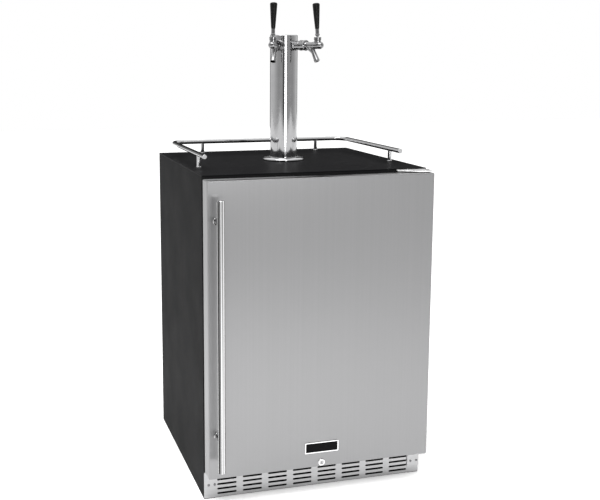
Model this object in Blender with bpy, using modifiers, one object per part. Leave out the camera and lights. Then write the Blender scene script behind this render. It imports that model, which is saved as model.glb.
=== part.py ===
"""Two-tap kegerator: an undercounter keg refrigerator with a draft tower on its top.

Metres, +Z up. The front faces -Y, and +X is on the right of someone who faces it. The origin is on the
floor, under the middle of the cabinet. A face called front, back, left or right is named as that person
sees it.
"""

import math

import bmesh
import bpy
from mathutils import Matrix, Vector

# Fits and drawing
GAP = 0.0003
PLAY = 0.0005
OVERRUN = 0.003
WELD = 0.00001
ROUND_STEPS = 24
FINE_STEPS = 32
SMALL_STEPS = 12
BEND_STEPS = 4
HOSE_STEPS = 18
TUBE_RESOLUTION = 2
HEX_SIDES = 6
OCTAGON_SIDES = 8
SHARP_DEGREES = 35.0

# Cabinet
WIDTH = 0.605
DEPTH = 0.570
HEIGHT = 0.846
SHEET = 0.0012
TOP_THICK = 0.003
TOP_EDGE = 0.0008
SIDE_WALL = 0.0455
BACK_WALL = 0.038
CEILING_WALL = 0.038
KICK_TOP = 0.074
FLOOR_RAIL = 0.038
KICK_RETURN = 0.030
LINER = 0.0015
FLOOR_FOAM = 0.036
HUMP_DEPTH = 0.115
HUMP_HEIGHT = 0.218
HUMP_FOAM = 0.032
LINE_HOLE = 0.030

# Base pan and its two front feet
PAN_SHEET = 0.0015
PAN_UPSTAND = 0.015
FOOT_INSET = 0.055
POCKET_SIDE = 0.052
POCKET_HEIGHT = 0.0135
FOOT_LIFT = 0.001
FOOT_RADIUS = 0.018
FOOT_THICK = 0.009
FOOT_STUD = 0.004
FOOT_STUD_LENGTH = 0.034

# Kick grille
GRILLE_SHEET = 0.0012
GRILLE_LOW = 0.002
GRILLE_TOP_GAP = 0.0015
SLOT_LONG = 0.052
SLOT_HIGH = 0.005
SLOT_MARGIN = 0.030
SLOT_PITCH = 0.069
SLOT_ROW_MARGIN = 0.007
SLOT_ROW_PITCH = 0.0125
SLOT_END_STEPS = 3

# Rear cover of the machine room
LOUVRE_MARGIN = 0.060
LOUVRE_LONG = 0.090
LOUVRE_HIGH = 0.008
LOUVRE_PITCH = 0.120
LOUVRE_ABOVE_PAN = 0.100
LOUVRE_BELOW_TOP = 0.040
LOUVRE_ROW_PITCH = 0.030
GLAND_INSET = 0.046
GLAND_ABOVE_PAN = 0.035
GLAND_RADIUS = 0.009
GLAND_FLANGE = 0.013
GLAND_FLANGE_THICK = 0.003
GLAND_BORE = 0.0045
GLAND_LENGTH = 0.016

# Door
DOOR_GAP = 0.008
DOOR_THICK = 0.045
DOOR_SIDE_GAP = 0.001
DOOR_DROP = 0.008
DOOR_ABOVE_KICK = 0.002
DOOR_SKIN = 0.0009
DOOR_EDGE = 0.0015
DOOR_PANEL = 0.012
DOOR_TRAY_INSET = 0.060
DOOR_TRAY_DEPTH = 0.009
GASKET_WIDTH = 0.014
GASKET_INSET = 0.017
GASKET_LOW = 0.021

# Door hinges
PIN_INSET = 0.013
PIN_AHEAD = 0.025
PIN_RADIUS = 0.004
PIN_REACH = 0.014
PIN_HEAD = 0.006
PIN_HEAD_HIGH = 0.0012
HINGE_PLATE = 0.003
HINGE_REACH = 0.044
TOP_HINGE_LONG = 0.087
TOP_HINGE_NARROW = 0.014
TOP_HINGE_BROAD = 0.036
TOP_HINGE_FLANGE = 0.011
TOP_HINGE_NOSE_STEPS = 5
LOW_HINGE_WIDE = 0.034
LOW_HINGE_BOTTOM = 0.022

# Door handle, badge place and lock
HANDLE_INSET = 0.023
HANDLE_RADIUS = 0.00925
HANDLE_STANDOFF = 0.045
HANDLE_BELOW_TOP = 0.041
HANDLE_ABOVE_BOTTOM = 0.036
HANDLE_EDGE = 0.0012
POST_RADIUS = 0.0065
POST_FOOT = 0.009
POST_FOOT_THICK = 0.003
LOW_POST_INSET = 0.080
HIGH_POST_INSET = 0.057
BADGE_WIDE = 0.092
BADGE_HIGH = 0.029
BADGE_THICK = 0.0025
BADGE_RIM = 0.0025
BADGE_SINK = 0.0008
BADGE_UP_DOOR = 0.054
BADGE_CORNER = 0.0015
LOCK_UP_DOOR = 0.012
LOCK_HEAD = 0.009
LOCK_PROUD = 0.003
LOCK_BARREL = 0.0075
LOCK_PLUG = 0.0055
KEYWAY_WIDE = 0.0016
KEYWAY_HIGH = 0.0065
KEYWAY_DEEP = 0.006
CAM_THICK = 0.0022
CAM_HALF = 0.005
CAM_REACH = 0.0115
KEEPER_WIDE = 0.018
KEEPER_SHEET = 0.0012
KEEPER_LIP = 0.006

# Guard rail
RAIL_RADIUS = 0.00635
RAIL_HEIGHT = 0.035
RAIL_SIDE_INSET = 0.0305
RAIL_BACK_INSET = 0.050
RAIL_FRONT_INSET = 0.095
RAIL_BEND = 0.036
RAIL_POST = 0.0055
RAIL_POST_FOOT = 0.0075
RAIL_POST_FOOT_HIGH = 0.0025
SIDE_POST_FROM_FRONT = 0.165
BACK_POST_INSET = 0.092

# Tower
TOWER_Y = 0.0
TOWER_RADIUS = 0.0381
TOWER_WALL = 0.0015
TOWER_HIGH = 0.347
TOWER_TOP_EDGE = 0.002
FLANGE_RADIUS = 0.0575
FLANGE_HIGH = 0.008
FLANGE_EDGE = 0.003
FLANGE_SHOULDER = 0.047
TAP_HEIGHT = 0.318
TAP_SPREAD_DEGREES = 32.0

# Shank, elbow and coupling nut of a tap, distances out from the tower's axis
SHANK_RADIUS = 0.011
SHANK_INNER = 0.024
SHANK_COLLAR = 0.014
SHANK_COLLAR_THICK = 0.006
SHANK_END = 0.0655
SHANK_NUT = 0.0128
SHANK_NUT_START = 0.0262
SHANK_NUT_THICK = 0.006
ELBOW_RADIUS = 0.0036
ELBOW_REACH = 0.012
ELBOW_DROP = 0.022
NUT_RADIUS = 0.0145
NUT_START = 0.060
NUT_END = 0.0805
NUT_GROOVE = 0.0008
NUT_RIM = 0.004

# Tap body
BARREL_RADIUS = 0.0095
BARREL_WAIST = 0.0085
BARREL_WAIST_AT = 0.100
CHAMBER_RADIUS = 0.0102
CHAMBER_START = 0.108
CHAMBER_END = 0.1285
BODY_END = 0.1355
NOSE_RADIUS = 0.0055
BODY_BORE = 0.0062
BODY_BORE_END = 0.1275
LEVER_AT = 0.1186
STEM_RADIUS = 0.0088
STEM_HIGH = 0.014
STEM_BORE = 0.0069
SPOUT_START = 0.096
SPOUT_END = 0.118
SPOUT_DROP = 0.043
SPOUT_TOP_RADIUS = 0.0062
SPOUT_TIP_RADIUS = 0.0078
SPOUT_BORE = 0.0044
COLLAR_RADIUS = 0.0098
COLLAR_HIGH = 0.0075
COLLAR_BORE = 0.0076

# Tap lever and handle, heights above the lever's pivot
PIVOT_HIGH = 0.016
LEVER_LEAN_DEGREES = 4.0
BALL_RADIUS = 0.0064
STUB_RADIUS = 0.0020
STUB_LENGTH = 0.0150
LEVER_RADIUS = 0.0030
FERRULE_START = 0.0095
FERRULE_RADIUS = 0.0050
FERRULE_BEAD = 0.0062
FERRULE_BEAD_HIGH = 0.0035
FERRULE_END = 0.0275
LEVER_STUD = 0.0030
LEVER_STUD_END = 0.0370
GRIP_BOTTOM_RADIUS = 0.0056
GRIP_TOP_RADIUS = 0.0097
GRIP_LENGTH = 0.0665
GRIP_CROWN = 0.0020
BALL_STEPS = 6

# Plunger in the tap body
PLUNGER_START = 0.076
PLUNGER_END = 0.126
PLUNGER_RADIUS = 0.0056
PLUNGER_NECK = 0.0025
PLUNGER_HEAD_LONG = 0.006
FORK_LONG = 0.018
FORK_SLOT_HALF = 0.0026
FORK_SLOT_INNER = 0.113
FORK_SLOT_OUTER = 0.1247

# Machine room
COMPRESSOR_INSET = 0.151
COMPRESSOR_LONG = 0.190
COMPRESSOR_WIDE = 0.104
COMPRESSOR_HIGH = 0.150
COMPRESSOR_ROUND = 0.034
COMPRESSOR_PLATE = 0.003
COMPRESSOR_SKIRT = 0.012
CONDENSER_INSET = 0.016
CONDENSER_LONG = 0.150
CONDENSER_DEEP = 0.090
CONDENSER_HIGH = 0.190
CONDENSER_FINS = 9
CONDENSER_BACKING = 0.018
SHROUD_FROM_CONDENSER = 0.030
SHROUD_THICK = 0.003
SHROUD_HIGH = 0.170
SHROUD_HOLE = 0.0475
ROOM_PLAY = 0.004
FAN_RADIUS = 0.0440
FAN_HUB = 0.013
FAN_HUB_LONG = 0.016
FAN_BLADES = 5
BLADE_CHORD = 0.026
BLADE_THICK = 0.0015
BLADE_PITCH_DEGREES = 32.0
MOTOR_RADIUS = 0.018
MOTOR_LONG = 0.026
MOTOR_ARM = 0.006
MOTOR_ARM_THICK = 0.003
PIPE_RADIUS = 0.003
PIPE_BEND = 0.012
RISER_INSET = 0.042
RISER_OFF_WALL = 0.006

# Cold space
EVAPORATOR_FROM_RISER = 0.025
EVAPORATOR_BELOW_CEILING = 0.038
EVAPORATOR_HIGH = 0.190
EVAPORATOR_THICK = 0.0016
EVAPORATOR_OFF_WALL = 0.0055
EVAPORATOR_BOSS = 0.003
COVER_MARGIN = 0.012
COVER_FROM_CYLINDER = 0.046
COVER_DEEP = 0.040
COVER_WALL = 0.002
COLD_FAN_HOLE = 0.0475
CONTROL_WIDE = 0.150
CONTROL_DEEP = 0.080
CONTROL_HIGH = 0.028
CONTROL_SET_BACK = 0.020
CONTROL_EDGE = 0.003
BUTTON_RADIUS = 0.006
BUTTON_PITCH = 0.030
BUTTON_PROUD = 0.0025
BUTTON_LONG = 0.0065
BUTTON_TRAVEL = 0.0015

# Gas kit
CYLINDER_INSET = 0.065
CYLINDER_RADIUS = 0.054
CYLINDER_OFF_WALL = 0.003
CYLINDER_HEADROOM = 0.178
CYLINDER_SHOULDER = 0.045
CYLINDER_FOOT_ROUND = 0.010
CYLINDER_NECK = 0.015
CYLINDER_NECK_HIGH = 0.010
VALVE_RADIUS = 0.012
VALVE_HIGH = 0.040
VALVE_STEM = 0.004
VALVE_STEM_HIGH = 0.008
VALVE_OUTLET_HIGH = 0.020
VALVE_OUTLET_RADIUS = 0.008
VALVE_OUTLET_REACH = 0.026
WHEEL_RADIUS = 0.020
WHEEL_HIGH = 0.010
WHEEL_SCALLOPS = 8
WHEEL_SCALLOP_RADIUS = 0.0045
REGULATOR_REACH = 0.062
REGULATOR_RADIUS = 0.020
REGULATOR_DEEP = 0.030
REGULATOR_NUT = 0.013
REGULATOR_STEM = 0.0045
BONNET_RADIUS = 0.013
BONNET_LONG = 0.018
KNOB_RADIUS = 0.011
KNOB_LONG = 0.012
KNOB_FLUTES = 8
KNOB_FLUTE_RADIUS = 0.0015
GAUGE_RADIUS = 0.021
GAUGE_THICK = 0.014
GAUGE_DISTANCE = 0.048
BARB_RADIUS = 0.0032
BARB_DROP = 0.022
HOSE_RADIUS = 0.0048

# Beer lines, their wing nuts stowed on the shelf
BEER_LINE_RADIUS = 0.0048
COUPLING_X = (-0.150, -0.050)
COUPLING_OFF_WALL = 0.062
COUPLING_RADIUS = 0.0125
COUPLING_HIGH = 0.022
LINE_TURN = 0.045
HOSE_BEND = 0.040

# Places worked out from the sizes above
LEFT, RIGHT = -WIDTH / 2, WIDTH / 2
FRONT, BACK = -DEPTH / 2, DEPTH / 2
WRAP_TOP = HEIGHT - TOP_THICK - GAP
INNER_X = RIGHT - SHEET - GAP
CAVITY_X = RIGHT - SIDE_WALL
CAVITY_BACK = BACK - BACK_WALL
CAVITY_FLOOR = KICK_TOP + FLOOR_RAIL
CEILING = HEIGHT - CEILING_WALL
SHELF = CAVITY_FLOOR + HUMP_HEIGHT
HUMP_FRONT = CAVITY_BACK - HUMP_DEPTH
ROOM_TOP = SHELF - LINER - HUMP_FOAM
ROOM_FRONT = HUMP_FRONT + LINER + HUMP_FOAM
ROOM_BACK = BACK - SHEET - GAP
DOOR_BACK = FRONT - DOOR_GAP
DOOR_FRONT = DOOR_BACK - DOOR_THICK
DOOR_X = RIGHT - DOOR_SIDE_GAP
DOOR_LOW = KICK_TOP + DOOR_ABOVE_KICK
DOOR_HIGH = HEIGHT - DOOR_DROP
PIN_X = RIGHT - PIN_INSET
PIN_Y = DOOR_BACK - PIN_AHEAD
GRILLE_HIGH = KICK_TOP - GRILLE_TOP_GAP
GRILLE_FACE = FRONT - GAP - GRILLE_SHEET
TAP_Z = HEIGHT + TAP_HEIGHT
HANDLE_X = -DOOR_X + HANDLE_INSET
HANDLE_Y = DOOR_FRONT - HANDLE_STANDOFF
HANDLE_BOTTOM = DOOR_LOW + HANDLE_ABOVE_BOTTOM
HANDLE_TOP = DOOR_HIGH - HANDLE_BELOW_TOP
BADGE_HEIGHT = DOOR_LOW + BADGE_UP_DOOR
LOCK_HEIGHT = DOOR_LOW + LOCK_UP_DOOR
GLAND_X = INNER_X - GLAND_INSET
COMPRESSOR_X = INNER_X - COMPRESSOR_INSET
CONDENSER_LOW_X = -INNER_X + CONDENSER_INSET
SHROUD_X = CONDENSER_LOW_X + CONDENSER_LONG + SHROUD_FROM_CONDENSER
RISER_X = -CAVITY_X + RISER_INSET
CYLINDER_X = CAVITY_X - CYLINDER_INSET
CYLINDER_HIGH = CEILING - SHELF - CYLINDER_HEADROOM
EVAPORATOR_LEFT = RISER_X + EVAPORATOR_FROM_RISER
EVAPORATOR_RIGHT = CYLINDER_X - CYLINDER_RADIUS - COVER_FROM_CYLINDER - COVER_MARGIN
EVAPORATOR_LOW = CEILING - EVAPORATOR_BELOW_CEILING - EVAPORATOR_HIGH
CYLINDER_Y = CAVITY_BACK - CYLINDER_RADIUS - CYLINDER_OFF_WALL
VALVE_BASE = SHELF + GAP + CYLINDER_HIGH + CYLINDER_NECK_HIGH + GAP
OUTLET_Z = VALVE_BASE + VALVE_OUTLET_HIGH
REGULATOR_X = CYLINDER_X - REGULATOR_REACH

# Colour, roughness and metallic value of each finish
STAINLESS = ("brushed stainless", (0.56, 0.56, 0.57), 0.34, 1.0)
POLISHED = ("polished chrome", (0.78, 0.78, 0.79), 0.10, 1.0)
GREY_PAINT = ("dark grey paint", (0.045, 0.045, 0.047), 0.50, 0.0)
GLOSS_BLACK = ("gloss black top", (0.012, 0.012, 0.013), 0.18, 0.0)
BLACK_GRIP = ("black grip", (0.010, 0.010, 0.010), 0.30, 0.0)
RUBBER = ("black rubber", (0.020, 0.020, 0.020), 0.80, 0.0)
LINER_PLASTIC = ("liner plastic", (0.080, 0.080, 0.085), 0.45, 0.0)
FOAM = ("insulating foam", (0.80, 0.72, 0.45), 0.95, 0.0)
GALVANISED = ("galvanised steel", (0.50, 0.51, 0.52), 0.45, 1.0)
MACHINE_BLACK = ("machine black", (0.020, 0.020, 0.022), 0.40, 0.0)
COPPER = ("copper tube", (0.72, 0.36, 0.20), 0.30, 1.0)
ALUMINIUM = ("aluminium", (0.66, 0.67, 0.68), 0.40, 1.0)
BRASS = ("brass", (0.72, 0.55, 0.26), 0.28, 1.0)
CLEAR_HOSE = ("beer line", (0.75, 0.77, 0.76), 0.25, 0.0)
RED_HOSE = ("gas hose", (0.45, 0.03, 0.02), 0.40, 0.0)
DIAL_WHITE = ("gauge", (0.70, 0.70, 0.68), 0.30, 0.0)

FACINGS = {
    "x": (math.pi / 2, 0.0, math.pi / 2),
    "y": (math.pi / 2, 0.0, 0.0),
    "z": (0.0, 0.0, 0.0),
}


def start_scene():
    """Empties the scene and makes one collection for the parts and one for the cutters."""
    for old in list(bpy.data.objects):
        bpy.data.objects.remove(old, do_unlink=True)
    for name in ("kegerator", "cutters"):
        collection = bpy.data.collections.new(name)
        bpy.context.scene.collection.children.link(collection)


def finish_material(finish):
    """The material of a finish, made the first time it is asked for."""
    name, colour, roughness, metallic = finish
    material = bpy.data.materials.get(name)
    if material is None:
        material = bpy.data.materials.new(name)
        material.use_nodes = True
        shader = material.node_tree.nodes["Principled BSDF"]
        shader.inputs["Base Color"].default_value = (*colour, 1.0)
        shader.inputs["Roughness"].default_value = roughness
        shader.inputs["Metallic"].default_value = metallic
    return material


def add_piece(name, data, at, finish):
    """Puts mesh or curve data in the scene: a part where it has a finish, else a cutter."""
    piece = bpy.data.objects.new(name, data)
    piece.location = at
    if finish is None:
        bpy.data.collections["cutters"].objects.link(piece)
        piece.hide_render = True
        piece.display_type = "WIRE"
    else:
        bpy.data.collections["kegerator"].objects.link(piece)
        data.materials.append(finish_material(finish))
    return piece


def mesh_from(name, shape):
    """Turns a bmesh into a named mesh, round faces smooth and edges sharp."""
    mesh = bpy.data.meshes.new(name)
    shape.to_mesh(mesh)
    shape.free()
    mesh.shade_smooth()
    mesh.set_sharp_from_angle(angle=math.radians(SHARP_DEGREES))
    return mesh


def add_box(name, low, high, finish=None):
    """A box between two corners."""
    shape = bmesh.new()
    bmesh.ops.create_cube(shape, size=1.0)
    bmesh.ops.scale(shape, vec=[top - bottom for bottom, top in zip(low, high)], verts=shape.verts)
    centre = (Vector(low) + Vector(high)) / 2
    return add_piece(name, mesh_from(name, shape), centre, finish)


def add_rod(name, start, end, radius, finish=None, end_radius=None, steps=ROUND_STEPS):
    """A round bar, or a cone where the end has its own radius."""
    start, end = Vector(start), Vector(end)
    shape = bmesh.new()
    bmesh.ops.create_cone(
        shape, cap_ends=True, segments=steps, radius1=radius,
        radius2=radius if end_radius is None else end_radius, depth=(end - start).length)
    rod = add_piece(name, mesh_from(name, shape), (start + end) / 2, finish)
    rod.rotation_euler = Vector((0, 0, 1)).rotation_difference(end - start).to_euler()
    return rod


def add_turned(name, profile, at, finish=None, axis=(0, 0, 1), ring=False, steps=ROUND_STEPS):
    """A turned piece. The profile holds (radius, height) points down its outer side."""
    shape = bmesh.new()
    points = [shape.verts.new((radius, 0, height)) for radius, height in profile]
    for first, second in zip(points, points[1:]):
        shape.edges.new((first, second))
    if ring:
        shape.edges.new((points[-1], points[0]))
    mesh = bpy.data.meshes.new(name)
    shape.to_mesh(mesh)
    shape.free()
    piece = add_piece(name, mesh, at, finish)
    piece.rotation_euler = Vector((0, 0, 1)).rotation_difference(Vector(axis)).to_euler()
    screw = piece.modifiers.new("turn", "SCREW")
    screw.steps = screw.render_steps = steps
    screw.use_merge_vertices = True
    screw.merge_threshold = WELD
    screw.use_smooth_shade = True
    return piece


def add_plate(name, outline, thickness, at, facing, finish=None, holes=()):
    """A flat plate around a middle point. Facing x reads (y, z) outlines, y (x, z) and z (x, y)."""
    curve = bpy.data.curves.new(name, "CURVE")
    curve.dimensions = "2D"
    curve.fill_mode = "BOTH"
    curve.extrude = thickness / 2
    for loop in (outline, *holes):
        spline = curve.splines.new("POLY")
        spline.points.add(len(loop) - 1)
        for point, (across, up) in zip(spline.points, loop):
            point.co = (across, up, 0, 1)
        spline.use_cyclic_u = True
    plate = add_piece(name, curve, at, finish)
    plate.rotation_euler = FACINGS[facing]
    return plate


def add_tube(name, points, radius, finish=None):
    """A round tube or solid bar along points."""
    curve = bpy.data.curves.new(name, "CURVE")
    curve.dimensions = "3D"
    curve.bevel_depth = radius
    curve.bevel_resolution = TUBE_RESOLUTION
    curve.use_fill_caps = True
    spline = curve.splines.new("POLY")
    spline.points.add(len(points) - 1)
    for point, place in zip(spline.points, points):
        point.co = (*place, 1)
    return add_piece(name, curve, (0, 0, 0), finish)


def as_mesh(source):
    """Replaces a curve object by a mesh object of the same name, with its end caps welded."""
    bpy.context.view_layer.update()
    evaluated = source.evaluated_get(bpy.context.evaluated_depsgraph_get())
    shape = bmesh.new()
    shape.from_mesh(bpy.data.meshes.new_from_object(evaluated))
    bmesh.ops.remove_doubles(shape, verts=shape.verts, dist=WELD)
    name, place, collection = source.name, source.matrix_world.copy(), source.users_collection[0]
    materials = [slot.material for slot in source.material_slots]
    bpy.data.objects.remove(source, do_unlink=True)
    piece = bpy.data.objects.new(name, mesh_from(name, shape))
    for material in materials:
        piece.data.materials.append(material)
    collection.objects.link(piece)
    piece.hide_render = not materials
    piece.display_type = "TEXTURED" if materials else "WIRE"
    piece.matrix_world = place
    return piece


def combine(target, others, operation):
    """Cuts pieces out of a target, or joins them to it."""
    for other in others:
        boolean = target.modifiers.new(other.name, "BOOLEAN")
        boolean.operation = operation
        boolean.solver = "EXACT"
        boolean.object = other
    return target


def cut(target, *others):
    """Takes the other shapes out of the target."""
    return combine(target, others, "DIFFERENCE")


def join(target, *others):
    """Makes one body of the target and the other shapes."""
    return combine(target, others, "UNION")


def soften(target, width, segments=2):
    """Rounds a piece's edges."""
    bevel = target.modifiers.new("edges", "BEVEL")
    bevel.width = width
    bevel.segments = segments
    bevel.limit_method = "ANGLE"
    return target


def add_axis(name, at, parent=None):
    """An empty on a joint's axis."""
    axis = bpy.data.objects.new(name, None)
    bpy.data.collections["kegerator"].objects.link(axis)
    axis.location = at
    if parent is not None:
        carry(parent, axis)
    return axis


def carry(axis, *pieces):
    """Makes pieces move with an empty and keeps them where they are, with what cuts or joins them."""
    bpy.context.view_layer.update()
    for piece in pieces:
        group = [piece]
        for modifier in piece.modifiers:
            if modifier.type == "BOOLEAN" and modifier.object.parent is None:
                group.append(modifier.object)
        for member in group:
            member.parent = axis
            member.matrix_parent_inverse = axis.matrix_world.inverted()


def rectangle(low_u, low_v, high_u, high_v):
    """The corners of an upright rectangle."""
    return [(low_u, low_v), (high_u, low_v), (high_u, high_v), (low_u, high_v)]


def slot_outline(centre_u, centre_v, length, height):
    """A slot with round ends."""
    radius = height / 2
    run = length / 2 - radius
    points = []
    for side in (1, -1):
        for step in range(SLOT_END_STEPS + 1):
            angle = math.pi * step / SLOT_END_STEPS - math.pi / 2
            points.append((centre_u + side * (run + radius * math.cos(angle)),
                           centre_v + side * radius * math.sin(angle)))
    return points


def slot_rows(room, pitch, low, high, row_pitch, length, height):
    """As many slots as fit a room across, in as many rows as fit between two heights."""
    columns = int((room - length) / pitch) + 1
    rows = int((high - low - height) / row_pitch) + 1
    middle_v = (low + high) / 2
    return [
        slot_outline((column - (columns - 1) / 2) * pitch,
                     middle_v + (row - (rows - 1) / 2) * row_pitch, length, height)
        for row in range(rows) for column in range(columns)
    ]


def rounded_path(corners, bend):
    """The points of a path whose corners are arcs of a bend radius."""
    corners = [Vector(corner) for corner in corners]
    points = [corners[0]]
    for before, corner, after in zip(corners, corners[1:], corners[2:]):
        into, out = (before - corner).normalized(), (after - corner).normalized()
        half_angle = into.angle(out) / 2
        centre = corner + (into + out).normalized() * (bend / math.sin(half_angle))
        start = (corner + into * (bend / math.tan(half_angle)) - centre).normalized()
        end = (corner + out * (bend / math.tan(half_angle)) - centre).normalized()
        for step in range(BEND_STEPS + 1):
            points.append(centre + start.slerp(end, step / BEND_STEPS) * bend)
    points.append(corners[-1])
    return points


def flowing_path(places, steps=HOSE_STEPS):
    """Evenly spread points along a smooth curve through the places."""
    places = [Vector(place) for place in places]
    spans = [(after - before).length for before, after in zip(places, places[1:])]
    slopes = [(after - before).normalized()
              for before, after in zip([places[0], *places], [*places[1:], places[-1]])]
    points = []
    for step in range(steps):
        along = sum(spans) * step / steps
        span = 0
        while along > spans[span]:
            along -= spans[span]
            span += 1
        t, reach = along / spans[span], spans[span]
        points.append(places[span] * (1 - 3 * t ** 2 + 2 * t ** 3)
                      + places[span + 1] * (3 * t ** 2 - 2 * t ** 3)
                      + slopes[span] * reach * (t - 2 * t ** 2 + t ** 3)
                      + slopes[span + 1] * reach * (t ** 3 - t ** 2))
    return [*points, places[-1]]


def cold_space(name, grow, front, half_width):
    """The block of the cold space and its step over the machine room, grown on every closed side."""
    outline = [
        (front, CAVITY_FLOOR - grow), (HUMP_FRONT + grow, CAVITY_FLOOR - grow),
        (HUMP_FRONT + grow, SHELF - grow),
        (CAVITY_BACK + grow, SHELF - grow), (CAVITY_BACK + grow, CEILING + grow), (front, CEILING + grow),
    ]
    return as_mesh(add_plate(name, outline, 2 * half_width, (0, 0, 0), "x"))


def make_cutters():
    """The holes that pass through more than one piece."""
    add_rod("line_hole", (0, TOWER_Y, CEILING - OVERRUN), (0, TOWER_Y, HEIGHT + OVERRUN), LINE_HOLE)
    for name, z_end in (("top_pin_hole", DOOR_HIGH - PIN_REACH - OVERRUN),
                        ("low_pin_hole", DOOR_LOW + PIN_REACH + OVERRUN)):
        start = HEIGHT if z_end > CEILING / 2 else 0
        add_rod(name, (PIN_X, PIN_Y, start), (PIN_X, PIN_Y, z_end), PIN_RADIUS + GAP, steps=SMALL_STEPS)
    add_rod("lock_hole", (0, DOOR_FRONT - OVERRUN, LOCK_HEIGHT), (0, DOOR_BACK + OVERRUN, LOCK_HEIGHT),
            LOCK_BARREL + GAP)
    riser_y = CAVITY_BACK - RISER_OFF_WALL
    for name, x in zip(("riser_hole_1", "riser_hole_2"), riser_places()):
        add_rod(name, (x, riser_y, ROOM_TOP - OVERRUN), (x, riser_y, SHELF + OVERRUN), PIPE_RADIUS + GAP,
                steps=SMALL_STEPS)


def riser_places():
    """The two places across where refrigerant pipes rise out of the machine room."""
    return RISER_X, RISER_X + PIPE_BEND


def shared(*names):
    """Cutters by name."""
    return [bpy.data.objects[name] for name in names]


def make_cabinet():
    """Folded outer case, its top, its back panels and the foam and liner inside."""
    wrap = add_box("cabinet_wrap", (LEFT, FRONT, 0), (RIGHT, BACK, WRAP_TOP), GREY_PAINT)
    inside = add_box("wrap_inside", (LEFT + SHEET, FRONT + SHEET, -OVERRUN),
                     (RIGHT - SHEET, BACK + OVERRUN, WRAP_TOP - SHEET))
    doorway = add_box("wrap_doorway", (-CAVITY_X, FRONT - OVERRUN, CAVITY_FLOOR),
                      (CAVITY_X, FRONT + SHEET + OVERRUN, CEILING))
    kick = add_box("wrap_kick", (LEFT + KICK_RETURN, FRONT - OVERRUN, -OVERRUN),
                   (RIGHT - KICK_RETURN, FRONT + SHEET + OVERRUN, KICK_TOP))
    cut(wrap, inside, doorway, kick, *shared("line_hole"))
    lip_face = DOOR_BACK + GAP
    web = add_box("keeper_web", (-KEEPER_WIDE / 2, lip_face, KICK_TOP),
                  (KEEPER_WIDE / 2, FRONT + SHEET / 2, KICK_TOP + KEEPER_SHEET))
    lip = add_box("keeper_lip", (-KEEPER_WIDE / 2, lip_face, KICK_TOP),
                  (KEEPER_WIDE / 2, lip_face + KEEPER_SHEET, KICK_TOP + KEEPER_LIP))
    join(wrap, web, lip)

    top = add_box("top_panel", (LEFT, FRONT, HEIGHT - TOP_THICK), (RIGHT, BACK, HEIGHT), GLOSS_BLACK)
    cut(soften(top, TOP_EDGE), *shared("line_hole"))

    add_box("back_panel", (-INNER_X, BACK - SHEET, ROOM_TOP), (INNER_X, BACK, WRAP_TOP - SHEET - GAP),
            GALVANISED)

    front, back, top_z = FRONT + SHEET + GAP, ROOM_BACK, WRAP_TOP - SHEET - GAP
    low = CAVITY_FLOOR - LINER - FLOOR_FOAM
    outline = [(front, low), (ROOM_FRONT, low), (ROOM_FRONT, ROOM_TOP), (back, ROOM_TOP), (back, top_z),
               (front, top_z)]
    foam = as_mesh(add_plate("foam_insulation", outline, 2 * INNER_X, (0, 0, 0), "x", FOAM))
    room = cold_space("foam_room", LINER + GAP, FRONT - OVERRUN, CAVITY_X + LINER + GAP)
    cut(foam, room, *shared("line_hole", "riser_hole_1", "riser_hole_2"))

    liner = cold_space("inner_liner", LINER, front, CAVITY_X + LINER)
    bpy.data.collections["cutters"].objects.unlink(liner)
    bpy.data.collections["kegerator"].objects.link(liner)
    liner.hide_render = False
    liner.display_type = "TEXTURED"
    liner.data.materials.append(finish_material(LINER_PLASTIC))
    cut(liner, cold_space("liner_room", 0, FRONT - OVERRUN, CAVITY_X),
        *shared("line_hole", "riser_hole_1", "riser_hole_2"))


def foot_places():
    """Where the two front levelling feet stand."""
    return [(side * (RIGHT - FOOT_INSET), FRONT + FOOT_INSET) for side in (-1, 1)]


def make_base():
    """Base pan with a raised pocket over each front foot, and the feet screwed up into the pockets."""
    pan = add_box("base_pan", (-INNER_X, FRONT + SHEET + GAP, 0), (INNER_X, BACK, PAN_UPSTAND), GALVANISED)
    tray = add_box("pan_tray", (-INNER_X + PAN_SHEET, FRONT + SHEET + GAP + PAN_SHEET, PAN_SHEET),
                   (INNER_X - PAN_SHEET, BACK - PAN_SHEET, PAN_UPSTAND + OVERRUN))
    cut(pan, tray)
    half = POCKET_SIDE / 2
    for side, (x, y) in zip(("left", "right"), foot_places()):
        cap = add_box("pocket_" + side, (x - half - PAN_SHEET, y - half - PAN_SHEET, 0),
                      (x + half + PAN_SHEET, y + half + PAN_SHEET, POCKET_HEIGHT + PAN_SHEET))
        hollow = add_box("pocket_hollow_" + side, (x - half, y - half, -OVERRUN),
                         (x + half, y + half, POCKET_HEIGHT))
        hole = add_rod("pocket_hole_" + side, (x, y, -OVERRUN), (x, y, PAN_UPSTAND + OVERRUN),
                       FOOT_STUD + GAP, steps=SMALL_STEPS)
        cut(join(pan, cap), hollow, hole)
        top, stud_top = FOOT_LIFT + FOOT_THICK, FOOT_LIFT + FOOT_THICK + FOOT_STUD_LENGTH
        add_turned("levelling_foot_" + side,
                   [(0, stud_top), (FOOT_STUD, stud_top), (FOOT_STUD, top), (FOOT_RADIUS / 2, top),
                    (FOOT_RADIUS, top / 2), (FOOT_RADIUS, FOOT_LIFT), (0, FOOT_LIFT)],
                   (x, y, 0), RUBBER, steps=SMALL_STEPS)


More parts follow.
